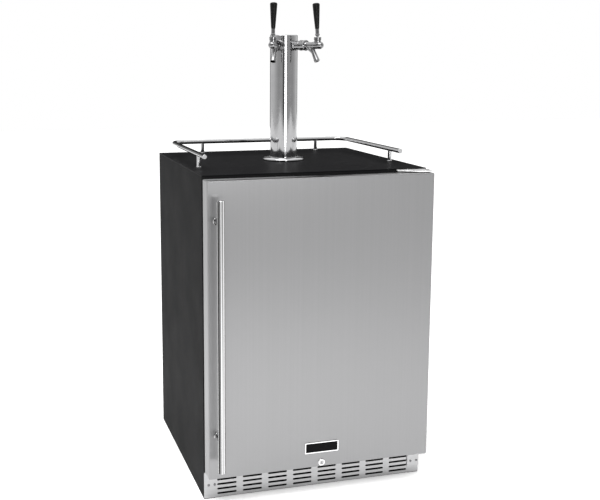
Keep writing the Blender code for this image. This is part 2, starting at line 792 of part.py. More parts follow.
def make_panels():
    """Kick grille under the door, and the rear cover with its cord gland."""
    slots = slot_rows(WIDTH - 2 * SLOT_MARGIN, SLOT_PITCH, GRILLE_LOW + SLOT_ROW_MARGIN,
                      GRILLE_HIGH - SLOT_ROW_MARGIN, SLOT_ROW_PITCH, SLOT_LONG, SLOT_HIGH)
    add_plate("kick_grille", rectangle(LEFT, GRILLE_LOW, RIGHT, GRILLE_HIGH), GRILLE_SHEET,
              (0, FRONT - GAP - GRILLE_SHEET / 2, 0), "y", STAINLESS, slots)

    low, high = PAN_UPSTAND + GAP, ROOM_TOP - GAP
    louvres = slot_rows(2 * (INNER_X - LOUVRE_MARGIN), LOUVRE_PITCH, low + LOUVRE_ABOVE_PAN,
                        high - LOUVRE_BELOW_TOP, LOUVRE_ROW_PITCH, LOUVRE_LONG, LOUVRE_HIGH)
    gland_z = low + GLAND_ABOVE_PAN
    gland_hole = [
        (GLAND_X + (GLAND_RADIUS + GAP) * math.cos(angle), gland_z + (GLAND_RADIUS + GAP) * math.sin(angle))
        for angle in (2 * math.pi * step / ROUND_STEPS for step in range(ROUND_STEPS))
    ]
    add_plate("rear_cover", rectangle(-INNER_X, low, INNER_X, high), SHEET, (0, BACK - SHEET / 2, 0),
              "y", GREY_PAINT, [*louvres, gland_hole])
    add_turned("cord_gland",
               [(GLAND_BORE, GLAND_LENGTH), (GLAND_RADIUS, GLAND_LENGTH),
                (GLAND_RADIUS, GAP + GLAND_FLANGE_THICK),
                (GLAND_FLANGE, GAP + GLAND_FLANGE_THICK), (GLAND_FLANGE, GAP), (GLAND_RADIUS, GAP),
                (GLAND_RADIUS, -GLAND_FLANGE_THICK), (GLAND_BORE, -GLAND_FLANGE_THICK)],
               (GLAND_X, BACK, gland_z), RUBBER, axis=(0, 1, 0), ring=True)


def top_hinge_face():
    """The upper face of the top hinge's plate."""
    return DOOR_HIGH + (HEIGHT - DOOR_HIGH + HINGE_PLATE) / 2


def make_hinges():
    """Two brackets on the right of the cabinet, and the pins that the door turns on."""
    top = top_hinge_face()
    back = FRONT - GAP
    inner, outer = RIGHT - TOP_HINGE_LONG, RIGHT
    nose = TOP_HINGE_NARROW / 2
    outline = [(outer, back), (outer, back - HINGE_REACH), (outer - TOP_HINGE_BROAD, back - HINGE_REACH)]
    for step in range(TOP_HINGE_NOSE_STEPS + 1):
        angle = math.pi / 2 * (3 - 2 * step / TOP_HINGE_NOSE_STEPS)
        outline.append((inner + nose + nose * math.cos(angle), back - nose + nose * math.sin(angle)))
    plate = as_mesh(add_plate("top_hinge_bracket", outline, HINGE_PLATE, (0, 0, top - HINGE_PLATE / 2),
                              "z", STAINLESS))
    flange = add_box("top_hinge_flange", (inner + nose, back - HINGE_PLATE, top - TOP_HINGE_FLANGE),
                     (outer, back, top - HINGE_PLATE / 2))
    cut(join(plate, flange), *shared("top_pin_hole"))

    front = GRILLE_FACE - GAP
    low_top = DOOR_LOW - (HEIGHT - DOOR_HIGH - HINGE_PLATE) / 2
    bracket = add_box("bottom_hinge_bracket",
                      (RIGHT - LOW_HINGE_WIDE, front - HINGE_PLATE, LOW_HINGE_BOTTOM),
                      (RIGHT, front, low_top), STAINLESS)
    tab = add_box("low_hinge_tab", (RIGHT - LOW_HINGE_WIDE, back - HINGE_REACH, low_top - HINGE_PLATE),
                  (RIGHT, front - HINGE_PLATE / 2, low_top))
    cut(join(bracket, tab), *shared("low_pin_hole"))

    add_turned("top_hinge_pin", pin_profile(top, DOOR_HIGH - PIN_REACH), (PIN_X, PIN_Y, 0), STAINLESS,
               steps=SMALL_STEPS)
    add_turned("bottom_hinge_pin", pin_profile(-(low_top - HINGE_PLATE), -(DOOR_LOW + PIN_REACH)),
               (PIN_X, PIN_Y, 0), STAINLESS, axis=(0, 0, -1), steps=SMALL_STEPS)


def pin_profile(seat, tip):
    """A hinge pin with a flat head on its seat, pointing down."""
    return [(0, seat + GAP + PIN_HEAD_HIGH), (PIN_HEAD, seat + GAP + PIN_HEAD_HIGH), (PIN_HEAD, seat + GAP),
            (PIN_RADIUS, seat + GAP), (PIN_RADIUS, tip), (0, tip)]


def make_door():
    """Door pan, foam, inner panel, gasket and what is fitted to the door, on the hinge's axis."""
    skin = soften(add_box("door_skin", (-DOOR_X, DOOR_FRONT, DOOR_LOW), (DOOR_X, DOOR_BACK, DOOR_HIGH),
                          STAINLESS),
                  DOOR_EDGE)
    inner_low = (-DOOR_X + DOOR_SKIN, DOOR_FRONT + DOOR_SKIN, DOOR_LOW + DOOR_SKIN)
    inner_high = (DOOR_X - DOOR_SKIN, DOOR_BACK, DOOR_HIGH - DOOR_SKIN)
    hollow = add_box("skin_hollow", inner_low, (inner_high[0], DOOR_BACK + OVERRUN, inner_high[2]))
    trim = add_box("skin_back_edge", (-DOOR_X - OVERRUN, DOOR_BACK - DOOR_EDGE, DOOR_LOW - OVERRUN),
                   (DOOR_X + OVERRUN, DOOR_BACK + OVERRUN, DOOR_HIGH + OVERRUN))
    cut(skin, hollow, trim, *shared("top_pin_hole", "low_pin_hole", "lock_hole"))

    panel_front = DOOR_BACK - DOOR_PANEL
    shrink = Vector((GAP, GAP, GAP))
    foam = add_box("door_foam", Vector(inner_low) + shrink,
                   Vector((inner_high[0], panel_front, inner_high[2])) - shrink, FOAM)
    cut(foam, *shared("top_pin_hole", "low_pin_hole", "lock_hole"))
    panel = add_box("door_inner_panel", (inner_low[0] + GAP, panel_front, inner_low[2] + GAP),
                    (inner_high[0] - GAP, DOOR_BACK, inner_high[2] - GAP), LINER_PLASTIC)
    tray = add_box("door_tray",
                   (-DOOR_X + DOOR_TRAY_INSET, DOOR_BACK - DOOR_TRAY_DEPTH, DOOR_LOW + DOOR_TRAY_INSET),
                   (DOOR_X - DOOR_TRAY_INSET, DOOR_BACK + OVERRUN, DOOR_HIGH - DOOR_TRAY_INSET))
    cut(panel, tray, *shared("lock_hole"))

    seal_x, seal_low, seal_high = DOOR_X - GASKET_INSET, DOOR_LOW + GASKET_LOW, DOOR_HIGH - GASKET_INSET
    gasket = add_box("door_gasket", (-seal_x, DOOR_BACK + GAP, seal_low), (seal_x, FRONT - GAP, seal_high),
                     RUBBER)
    opening = add_box("gasket_opening",
                      (-seal_x + GASKET_WIDTH, DOOR_BACK - OVERRUN, seal_low + GASKET_WIDTH),
                      (seal_x - GASKET_WIDTH, FRONT + OVERRUN, seal_high - GASKET_WIDTH))
    cut(gasket, opening)

    door_axis = add_axis("door_axis", (PIN_X, PIN_Y, DOOR_LOW))
    carry(door_axis, skin, foam, panel, gasket)
    make_handle(door_axis)
    make_badge(door_axis)
    make_lock(door_axis)


def make_handle(door_axis):
    """Round bar with a welded post near each end."""
    bar = soften(add_rod("handle_bar", (HANDLE_X, HANDLE_Y, HANDLE_BOTTOM),
                         (HANDLE_X, HANDLE_Y, HANDLE_TOP), HANDLE_RADIUS, STAINLESS), HANDLE_EDGE, 1)
    profile = [(0, HANDLE_STANDOFF), (POST_RADIUS, HANDLE_STANDOFF), (POST_RADIUS, GAP + POST_FOOT_THICK),
               (POST_FOOT, GAP + POST_FOOT_THICK), (POST_FOOT, GAP), (0, GAP)]
    for name, z in (("lower_post", HANDLE_BOTTOM + LOW_POST_INSET),
                    ("upper_post", HANDLE_TOP - HIGH_POST_INSET)):
        join(bar, add_turned(name, profile, (HANDLE_X, DOOR_FRONT, z), axis=(0, -1, 0)))
    carry(door_axis, bar)


def make_badge(door_axis):
    """Bare framed plate low on the door."""
    face = DOOR_FRONT - GAP
    half_wide, half_high = BADGE_WIDE / 2, BADGE_HIGH / 2
    plate = soften(add_box("badge_plate", (-half_wide, face - BADGE_THICK, BADGE_HEIGHT - half_high),
                           (half_wide, face, BADGE_HEIGHT + half_high), POLISHED), BADGE_CORNER / 2, 1)
    sink = add_box("badge_field",
                   (-half_wide + BADGE_RIM, face - BADGE_THICK - OVERRUN,
                    BADGE_HEIGHT - half_high + BADGE_RIM),
                   (half_wide - BADGE_RIM, face - BADGE_THICK + BADGE_SINK,
                    BADGE_HEIGHT + half_high - BADGE_RIM))
    carry(door_axis, cut(plate, sink))


def make_lock(door_axis):
    """Barrel through the door, and the plug that turns in it with its cam behind the door."""
    through = DOOR_THICK + GAP
    head = LOCK_PROUD + GAP
    barrel = add_turned(
        "lock_barrel",
        [(LOCK_PLUG + GAP, head), (LOCK_HEAD, head), (LOCK_HEAD, GAP), (LOCK_BARREL, GAP),
         (LOCK_BARREL, -through), (LOCK_PLUG + GAP, -through)],
        (0, DOOR_FRONT, LOCK_HEIGHT), POLISHED, axis=(0, -1, 0), ring=True)
    cam_front = -through - GAP
    plug = add_turned("lock_plug", [(0, head), (LOCK_PLUG, head), (LOCK_PLUG, cam_front - CAM_THICK),
                                    (0, cam_front - CAM_THICK)],
                      (0, DOOR_FRONT, LOCK_HEIGHT), POLISHED, axis=(0, -1, 0))
    face = DOOR_FRONT - cam_front + PLAY
    cam = add_box("lock_cam", (-CAM_REACH, face + KEEPER_SHEET, LOCK_HEIGHT - CAM_HALF),
                  (LOCK_PLUG, face + KEEPER_SHEET + CAM_THICK, LOCK_HEIGHT + CAM_HALF))
    tail = add_rod("lock_tail", (0, face - CAM_THICK, LOCK_HEIGHT),
                   (0, face + KEEPER_SHEET + CAM_THICK / 2, LOCK_HEIGHT),
                   LOCK_PLUG / 2, steps=SMALL_STEPS)
    keyway = add_box("keyway",
                     (-KEYWAY_WIDE / 2, DOOR_FRONT - head - OVERRUN, LOCK_HEIGHT - KEYWAY_HIGH / 2),
                     (KEYWAY_WIDE / 2, DOOR_FRONT - head + KEYWAY_DEEP, LOCK_HEIGHT + KEYWAY_HIGH / 2))
    carry(door_axis, barrel, cut(join(plug, tail, cam), keyway))


def make_rail():
    """Guard rail around the top, with its four welded posts."""
    x, y_back = RIGHT - RAIL_SIDE_INSET, BACK - RAIL_BACK_INSET
    y_front, z = FRONT + RAIL_FRONT_INSET, HEIGHT + RAIL_HEIGHT
    route = rounded_path([(-x, y_front, z), (-x, y_back, z), (x, y_back, z), (x, y_front, z)], RAIL_BEND)
    rail = add_tube("guard_rail", route, RAIL_RADIUS, POLISHED)
    rail.data.bevel_resolution = TUBE_RESOLUTION * 2
    rail = as_mesh(rail)
    profile = [(0, RAIL_HEIGHT), (RAIL_POST, RAIL_HEIGHT), (RAIL_POST, GAP + RAIL_POST_FOOT_HIGH),
               (RAIL_POST_FOOT, GAP + RAIL_POST_FOOT_HIGH), (RAIL_POST_FOOT, GAP), (0, GAP)]
    for side in (-1, 1):
        for at_x, at_y in ((x, FRONT + SIDE_POST_FROM_FRONT), (x - BACK_POST_INSET, y_back)):
            join(rail, add_turned("rail_post", profile, (side * at_x, at_y, HEIGHT), steps=SMALL_STEPS))


def make_tower():
    """Column with a closed top in its base flange, and the shanks through its wall."""
    seat = TOWER_RADIUS + GAP
    add_turned("tower_flange",
               [(seat, FLANGE_HIGH), (FLANGE_SHOULDER, FLANGE_HIGH - FLANGE_EDGE / 2),
                (FLANGE_RADIUS, FLANGE_EDGE), (FLANGE_RADIUS, GAP), (seat, GAP)],
               (0, TOWER_Y, HEIGHT), POLISHED, ring=True, steps=FINE_STEPS)
    inner = TOWER_RADIUS - TOWER_WALL
    column = add_turned("tower_column",
                        [(0, TOWER_HIGH), (TOWER_RADIUS - TOWER_TOP_EDGE, TOWER_HIGH),
                         (TOWER_RADIUS, TOWER_HIGH - TOWER_TOP_EDGE), (TOWER_RADIUS, GAP), (inner, GAP),
                         (inner, TOWER_HIGH - TOWER_TOP_EDGE - TOWER_WALL),
                         (0, TOWER_HIGH - TOWER_TOP_EDGE - TOWER_WALL)],
                        (0, TOWER_Y, HEIGHT), POLISHED, steps=FINE_STEPS)
    for side in (-1, 1):
        out = Vector((side * math.sin(tap_angle()), -math.cos(tap_angle()), 0))
        start = Vector((0, TOWER_Y, TAP_Z)) + out * SHANK_INNER
        cut(column, add_rod("shank_hole", start, start + out * TOWER_RADIUS, SHANK_RADIUS + GAP))


def tap_angle():
    """How far each tap is turned from straight ahead."""
    return math.radians(TAP_SPREAD_DEGREES)


def tap_place(out, up=0.0):
    """A point on the middle plane of a tap that still points straight ahead."""
    return (0, TOWER_Y - out, TAP_Z + up)


def outward(profile):
    """A profile given as (radius, distance out) turned into one that runs the right way."""
    return [(radius, out) for radius, out in reversed(profile)]


def make_tap_fixed_pieces(side, tap_axis):
    """Shank with its elbow, coupling nut, body and collar of one tap."""
    base = (0, TOWER_Y, TAP_Z)
    ahead = (0, -1, 0)
    collar_start = TOWER_RADIUS + GAP
    shank = add_turned(
        "faucet_shank_" + side,
        outward([(0, SHANK_INNER), (SHANK_RADIUS, SHANK_INNER), (SHANK_RADIUS, SHANK_NUT_START),
                 (SHANK_NUT, SHANK_NUT_START), (SHANK_NUT, SHANK_NUT_START + SHANK_NUT_THICK),
                 (SHANK_RADIUS, SHANK_NUT_START + SHANK_NUT_THICK), (SHANK_RADIUS, collar_start),
                 (SHANK_COLLAR, collar_start), (SHANK_COLLAR, collar_start + SHANK_COLLAR_THICK),
                 (SHANK_RADIUS, collar_start + SHANK_COLLAR_THICK), (SHANK_RADIUS, SHANK_END),
                 (0, SHANK_END)]),
        base, POLISHED, axis=ahead)
    elbow = as_mesh(add_tube("shank_elbow_" + side,
                             [tap_place(SHANK_INNER + SHANK_NUT_THICK),
                              tap_place(ELBOW_REACH + ELBOW_RADIUS),
                              tap_place(ELBOW_REACH, -ELBOW_RADIUS), tap_place(ELBOW_REACH, -ELBOW_DROP)],
                             ELBOW_RADIUS))
    join(shank, elbow)

    bore = SHANK_RADIUS + GAP
    nut = add_turned(
        "coupling_nut_" + side,
        outward([(bore, NUT_START), (NUT_RADIUS, NUT_START), (NUT_RADIUS, NUT_START + NUT_RIM),
                 (NUT_RADIUS - NUT_GROOVE, NUT_START + NUT_RIM),
                 (NUT_RADIUS - NUT_GROOVE, NUT_END - NUT_RIM),
                 (NUT_RADIUS, NUT_END - NUT_RIM), (NUT_RADIUS, NUT_END), (bore, NUT_END)]),
        base, POLISHED, axis=ahead, ring=True)

    body = add_turned(
        "faucet_body_" + side,
        outward([(0, SHANK_END + GAP), (SHANK_RADIUS, SHANK_END + GAP), (SHANK_RADIUS, NUT_END + GAP),
                 (BARREL_RADIUS, NUT_END + NUT_RIM), (BARREL_WAIST, BARREL_WAIST_AT),
                 (CHAMBER_RADIUS, CHAMBER_START),
                 (CHAMBER_RADIUS, CHAMBER_END), (NOSE_RADIUS, BODY_END), (0, BODY_END)]),
        base, POLISHED, axis=ahead)
    stem = add_rod("tap_stem_" + side, tap_place(LEVER_AT), tap_place(LEVER_AT, STEM_HIGH), STEM_RADIUS)
    spout = add_rod("tap_spout_" + side, tap_place(SPOUT_START), tap_place(SPOUT_END, -SPOUT_DROP),
                    SPOUT_TOP_RADIUS, end_radius=SPOUT_TIP_RADIUS)
    tip = Vector(tap_place(SPOUT_END, -SPOUT_DROP))
    beyond = (tip - Vector(tap_place(SPOUT_START))).normalized() * OVERRUN
    spout_bore = add_rod("spout_bore_" + side, tap_place(SPOUT_START), tip + beyond, SPOUT_BORE)
    body_bore = add_rod("body_bore_" + side, tap_place(SHANK_END - OVERRUN), tap_place(BODY_BORE_END),
                        BODY_BORE)
    stem_bore = add_rod("stem_bore_" + side, tap_place(LEVER_AT), tap_place(LEVER_AT, STEM_HIGH + OVERRUN),
                        STEM_BORE)
    cut(join(body, stem, spout), spout_bore, body_bore, stem_bore)

    foot = STEM_HIGH + GAP
    collar = add_turned(
        "faucet_collar_" + side,
        [(COLLAR_BORE, foot + COLLAR_HIGH), (COLLAR_RADIUS, foot + COLLAR_HIGH), (COLLAR_RADIUS, foot),
         (COLLAR_BORE, foot)],
        tap_place(LEVER_AT), POLISHED, ring=True)
    carry(tap_axis, shank, nut, body, collar)


def make_tap_moving_pieces(side, tap_axis):
    """Lever with its ferrule, the handle on it and the plunger that the lever's stub moves."""
    pivot = Vector(tap_place(LEVER_AT, PIVOT_HIGH))
    lean = math.radians(LEVER_LEAN_DEGREES)
    ball = [(BALL_RADIUS * math.sin(angle), BALL_RADIUS * math.cos(angle))
            for angle in (math.pi * step / BALL_STEPS for step in range(1, BALL_STEPS))]
    profile = [(0, LEVER_STUD_END), (LEVER_STUD, LEVER_STUD_END), (LEVER_STUD, FERRULE_END),
               (FERRULE_RADIUS, FERRULE_END), (FERRULE_RADIUS, FERRULE_START + FERRULE_BEAD_HIGH),
               (FERRULE_BEAD, FERRULE_START + FERRULE_BEAD_HIGH), (FERRULE_BEAD, FERRULE_START),
               (LEVER_RADIUS, FERRULE_START), (LEVER_RADIUS, BALL_RADIUS * math.cos(math.pi / BALL_STEPS)),
               *ball, (STUB_RADIUS, -BALL_RADIUS), (STUB_RADIUS, -STUB_LENGTH), (0, -STUB_LENGTH)]
    lever = add_turned("tap_lever_" + side, profile, pivot, POLISHED, steps=SMALL_STEPS)
    foot, head = FERRULE_END + GAP, FERRULE_END + GAP + GRIP_LENGTH
    socket = LEVER_STUD + GAP
    handle = add_turned(
        "tap_handle_" + side,
        [(0, head + GRIP_CROWN), (GRIP_TOP_RADIUS / 2, head + GRIP_CROWN / 2),
         (GRIP_TOP_RADIUS, head),
         (GRIP_TOP_RADIUS, head - GRIP_CROWN), (GRIP_BOTTOM_RADIUS, foot), (socket, foot),
         (socket, LEVER_STUD_END + GAP), (0, LEVER_STUD_END + GAP)],
        pivot, BLACK_GRIP, steps=ROUND_STEPS)
    lever_axis = add_axis("lever_axis_" + side, pivot, tap_axis)
    carry(lever_axis, lever, handle)
    lever_axis.rotation_euler = (-lean, 0, 0)

    plunger = add_turned(
        "faucet_plunger_" + side,
        outward([(0, PLUNGER_START), (PLUNGER_RADIUS, PLUNGER_START),
                 (PLUNGER_RADIUS, PLUNGER_START + PLUNGER_HEAD_LONG),
                 (PLUNGER_NECK, PLUNGER_START + PLUNGER_HEAD_LONG), (PLUNGER_NECK, PLUNGER_END - FORK_LONG),
                 (PLUNGER_RADIUS, PLUNGER_END - FORK_LONG), (PLUNGER_RADIUS, PLUNGER_END),
                 (0, PLUNGER_END)]),
        (0, TOWER_Y, TAP_Z), STAINLESS, axis=(0, -1, 0), steps=SMALL_STEPS)
    slot = add_box("fork_slot_" + side,
                   (-FORK_SLOT_HALF, TOWER_Y - FORK_SLOT_OUTER, TAP_Z - PLUNGER_RADIUS - OVERRUN),
                   (FORK_SLOT_HALF, TOWER_Y - FORK_SLOT_INNER, TAP_Z + PLUNGER_RADIUS + OVERRUN))
    carry(tap_axis, cut(plunger, slot))


def make_taps():
    """Both taps, built straight ahead and then turned outwards about the tower's axis."""
    for side, way in (("left", -1), ("right", 1)):
        axis = add_axis("tap_axis_" + side, (0, TOWER_Y, TAP_Z))
        make_tap_fixed_pieces(side, axis)
        make_tap_moving_pieces(side, axis)
        axis.rotation_euler = (0, 0, way * tap_angle())


def add_fan(name, centre, along, radius, finish):
    """A fan with flat pitched blades around a hub."""
    centre, along = Vector(centre), Vector(along)
    fan = add_rod(name, centre - along * FAN_HUB_LONG / 2, centre + along * FAN_HUB_LONG / 2,
                  FAN_HUB, finish, steps=SMALL_STEPS)
    turn = fan.rotation_euler.to_matrix().to_4x4()
    reach = radius - FAN_HUB / 2
    for blade in range(FAN_BLADES):
        plate = add_box(name + "_blade", (FAN_HUB / 2, -BLADE_CHORD / 2, -BLADE_THICK / 2),
                        (radius, BLADE_CHORD / 2, BLADE_THICK / 2))
        spin = Matrix.Rotation(2 * math.pi * blade / FAN_BLADES, 4, "Z")
        pitch = Matrix.Rotation(math.radians(BLADE_PITCH_DEGREES), 4, "X")
        shift = Matrix.Translation((FAN_HUB / 2 + reach / 2, 0, 0))
        plate.matrix_world = Matrix.Translation(centre) @ turn @ spin @ pitch @ shift
        join(fan, plate)
    return fan


def add_motor_mount(target, name, plate_centre, motor_centre, along, across, up, hole):
    """Joins a motor can and the spider that holds it across a round hole to a fan's plate."""
    along, across, up = Vector(along), Vector(across), Vector(up)
    plate_centre, motor_centre = Vector(plate_centre), Vector(motor_centre)
    for direction, other in ((across, up), (up, across)):
        reach = direction * (hole + MOTOR_ARM)
        size = reach + other * MOTOR_ARM / 2 + along * MOTOR_ARM_THICK / 2
        corner_a, corner_b = plate_centre - size, plate_centre + size
        low = [min(pair) for pair in zip(corner_a, corner_b)]
        high = [max(pair) for pair in zip(corner_a, corner_b)]
        join(target, add_box(name + "_arm", low, high))
    can = add_rod(name + "_can", plate_centre, motor_centre, MOTOR_RADIUS, steps=SMALL_STEPS)
    return join(target, can)


def make_machine_room():
    """Compressor, finned condenser, fan and its shroud, and the refrigerant pipes."""
    floor = PAN_SHEET + GAP
    middle_y = (ROOM_FRONT + BACK - PAN_SHEET) / 2
    half_wide = COMPRESSOR_WIDE / 2
    run = COMPRESSOR_LONG / 2 - half_wide
    outline = []
    for side in (1, -1):
        for step in range(SLOT_END_STEPS * 2 + 1):
            angle = math.pi * step / (SLOT_END_STEPS * 2) - math.pi / 2
            outline.append((side * (run + half_wide * math.cos(angle)), side * half_wide * math.sin(angle)))
    can_low = floor + COMPRESSOR_SKIRT
    can = as_mesh(add_plate("compressor", outline, COMPRESSOR_HIGH,
                            (COMPRESSOR_X, middle_y, can_low + COMPRESSOR_HIGH / 2), "z", MACHINE_BLACK))
    soften(can, COMPRESSOR_ROUND, 3)
    foot = add_box("compressor_foot", (COMPRESSOR_X - COMPRESSOR_LONG / 2, middle_y - half_wide, floor),
                   (COMPRESSOR_X + COMPRESSOR_LONG / 2, middle_y + half_wide, floor + COMPRESSOR_PLATE))
    post = add_rod("compressor_post", (COMPRESSOR_X, middle_y, floor),
                   (COMPRESSOR_X, middle_y, can_low + COMPRESSOR_SKIRT), half_wide / 2)
    join(can, post, foot)

    fins_y = middle_y - CONDENSER_DEEP / 2
    high_x = CONDENSER_LOW_X + CONDENSER_LONG
    condenser = add_box("condenser", (CONDENSER_LOW_X, fins_y, floor),
                        (high_x, fins_y + CONDENSER_DEEP, floor + CONDENSER_HIGH), ALUMINIUM)
    pitch = CONDENSER_LONG / (2 * CONDENSER_FINS + 1)
    for fin in range(CONDENSER_FINS):
        start = CONDENSER_LOW_X + pitch * (2 * fin + 1)
        cut(condenser, add_box("condenser_slot", (start, fins_y - OVERRUN, floor + CONDENSER_BACKING),
                               (start + pitch, fins_y + CONDENSER_DEEP - CONDENSER_BACKING,
                                floor + CONDENSER_HIGH - CONDENSER_BACKING)))

    fan_z = floor + SHROUD_HIGH / 2
    shroud = add_box("condenser_fan_shroud", (SHROUD_X, ROOM_FRONT + ROOM_PLAY, floor),
                     (SHROUD_X + SHROUD_THICK, BACK - PAN_SHEET - ROOM_PLAY, floor + SHROUD_HIGH),
                     MACHINE_BLACK)
    cut(shroud, add_rod("shroud_hole", (SHROUD_X - OVERRUN, middle_y, fan_z),
                        (SHROUD_X + SHROUD_THICK + OVERRUN, middle_y, fan_z), SHROUD_HOLE))
    plate = (SHROUD_X + SHROUD_THICK - MOTOR_ARM_THICK / 2, middle_y, fan_z)
    add_motor_mount(shroud, "shroud", plate, (SHROUD_X + MOTOR_LONG, middle_y, fan_z), (1, 0, 0),
                    (0, 1, 0), (0, 0, 1), SHROUD_HOLE)
    fan_x = SHROUD_X + SHROUD_THICK - MOTOR_ARM_THICK - GAP - FAN_HUB_LONG / 2
    add_fan("condenser_fan", (fan_x, middle_y, fan_z), (1, 0, 0), FAN_RADIUS, MACHINE_BLACK)

    make_pipes(middle_y, floor + CONDENSER_HIGH, can_low + COMPRESSOR_HIGH)


def make_pipes(middle_y, condenser_top, can_top):
    """Liquid and suction pipes between the machine room and the evaporator."""
    riser_y = CAVITY_BACK - RISER_OFF_WALL
    top = EVAPORATOR_LOW + COVER_MARGIN
    low_run = condenser_top + 2 * PIPE_BEND
    plate_x = EVAPORATOR_LEFT - GAP
    for name, x, run, end_x, end_z, rise in (
            ("liquid_pipe", RISER_X, low_run, CONDENSER_LOW_X + CONDENSER_LONG / 2, condenser_top + GAP,
             2 * PIPE_BEND),
            ("suction_pipe", RISER_X + PIPE_BEND, low_run + PIPE_BEND, COMPRESSOR_X, can_top + GAP,
             PIPE_BEND)):
        route = [(plate_x, riser_y, top + rise), (x, riser_y, top + rise), (x, riser_y, run),
                 (x, middle_y, run), (end_x, middle_y, run), (end_x, middle_y, end_z)]
        add_tube(name, rounded_path(route, PIPE_BEND / 2), PIPE_RADIUS, COPPER)


def make_cold_space():
    """Evaporator plate with its cover and fan, and the controls under the ceiling."""
    plate_back = CAVITY_BACK - EVAPORATOR_OFF_WALL
    plate = add_box("evaporator_plate", (EVAPORATOR_LEFT, plate_back - EVAPORATOR_THICK, EVAPORATOR_LOW),
                    (EVAPORATOR_RIGHT, plate_back, EVAPORATOR_LOW + EVAPORATOR_HIGH), ALUMINIUM)
    for x in (EVAPORATOR_LEFT + COVER_MARGIN, EVAPORATOR_RIGHT - COVER_MARGIN):
        for z in (EVAPORATOR_LOW + EVAPORATOR_HIGH - COVER_MARGIN, EVAPORATOR_LOW + COVER_MARGIN):
            join(plate, add_rod("plate_boss", (x, plate_back - EVAPORATOR_THICK / 2, z),
                                (x, CAVITY_BACK - GAP, z), EVAPORATOR_BOSS, steps=SMALL_STEPS))

    outer_low = (RISER_X - COVER_MARGIN, CAVITY_BACK - COVER_DEEP, EVAPORATOR_LOW - COVER_MARGIN)
    outer_high = (EVAPORATOR_RIGHT + COVER_MARGIN, CAVITY_BACK - GAP,
                  EVAPORATOR_LOW + EVAPORATOR_HIGH + COVER_MARGIN)
    cover = add_box("evaporator_cover", outer_low, outer_high, LINER_PLASTIC)
    wall = Vector((COVER_WALL, COVER_WALL, COVER_WALL))
    inner_low, inner_high = Vector(outer_low) + wall, Vector(outer_high) - wall
    inner_high.y = CAVITY_BACK + OVERRUN
    fan_x, fan_z = (inner_low.x + inner_high.x) / 2, (inner_low.z + inner_high.z) / 2
    hole = add_rod("cover_fan_hole", (fan_x, outer_low[1] - OVERRUN, fan_z),
                   (fan_x, inner_low.y + OVERRUN, fan_z), COLD_FAN_HOLE)
    slot_z = outer_low[2] - OVERRUN
    passage = add_box("cover_pipe_passage", (RISER_X - PIPE_BEND / 2, CAVITY_BACK - PIPE_BEND, slot_z),
                      (RISER_X + PIPE_BEND * 3 / 2, CAVITY_BACK + OVERRUN, inner_low.z + OVERRUN))
    cut(cover, add_box("cover_room", inner_low, inner_high), hole, passage)
    arm_y = inner_low.y - COVER_WALL / 2
    add_motor_mount(cover, "cover", (fan_x, arm_y, fan_z), (fan_x, arm_y - COVER_WALL / 2, fan_z),
                    (0, 1, 0), (1, 0, 0), (0, 0, 1), COLD_FAN_HOLE)
    fan_y = arm_y + MOTOR_ARM_THICK / 2 + GAP + FAN_HUB_LONG / 2
    add_fan("circulation_fan", (fan_x, fan_y, fan_z), (0, 1, 0), FAN_RADIUS, LINER_PLASTIC)

    front = FRONT + CONTROL_SET_BACK
    top = CEILING - GAP
    housing = add_box("control_housing", (-CONTROL_WIDE / 2, front, top - CONTROL_HIGH),
                      (CONTROL_WIDE / 2, front + CONTROL_DEEP, top), LINER_PLASTIC)
    soften(housing, CONTROL_EDGE)
    button_z = top - CONTROL_HIGH / 2
    seat = front - BUTTON_PROUD + BUTTON_LONG + BUTTON_TRAVEL
    for name, x in (("colder_button", -BUTTON_PITCH / 2), ("warmer_button", BUTTON_PITCH / 2)):
        cut(housing, add_rod(name + "_well", (x, front - OVERRUN, button_z), (x, seat + PLAY, button_z),
                             BUTTON_RADIUS + GAP))
        add_rod(name, (x, front - BUTTON_PROUD, button_z),
                (x, front - BUTTON_PROUD + BUTTON_LONG, button_z), BUTTON_RADIUS, DIAL_WHITE)


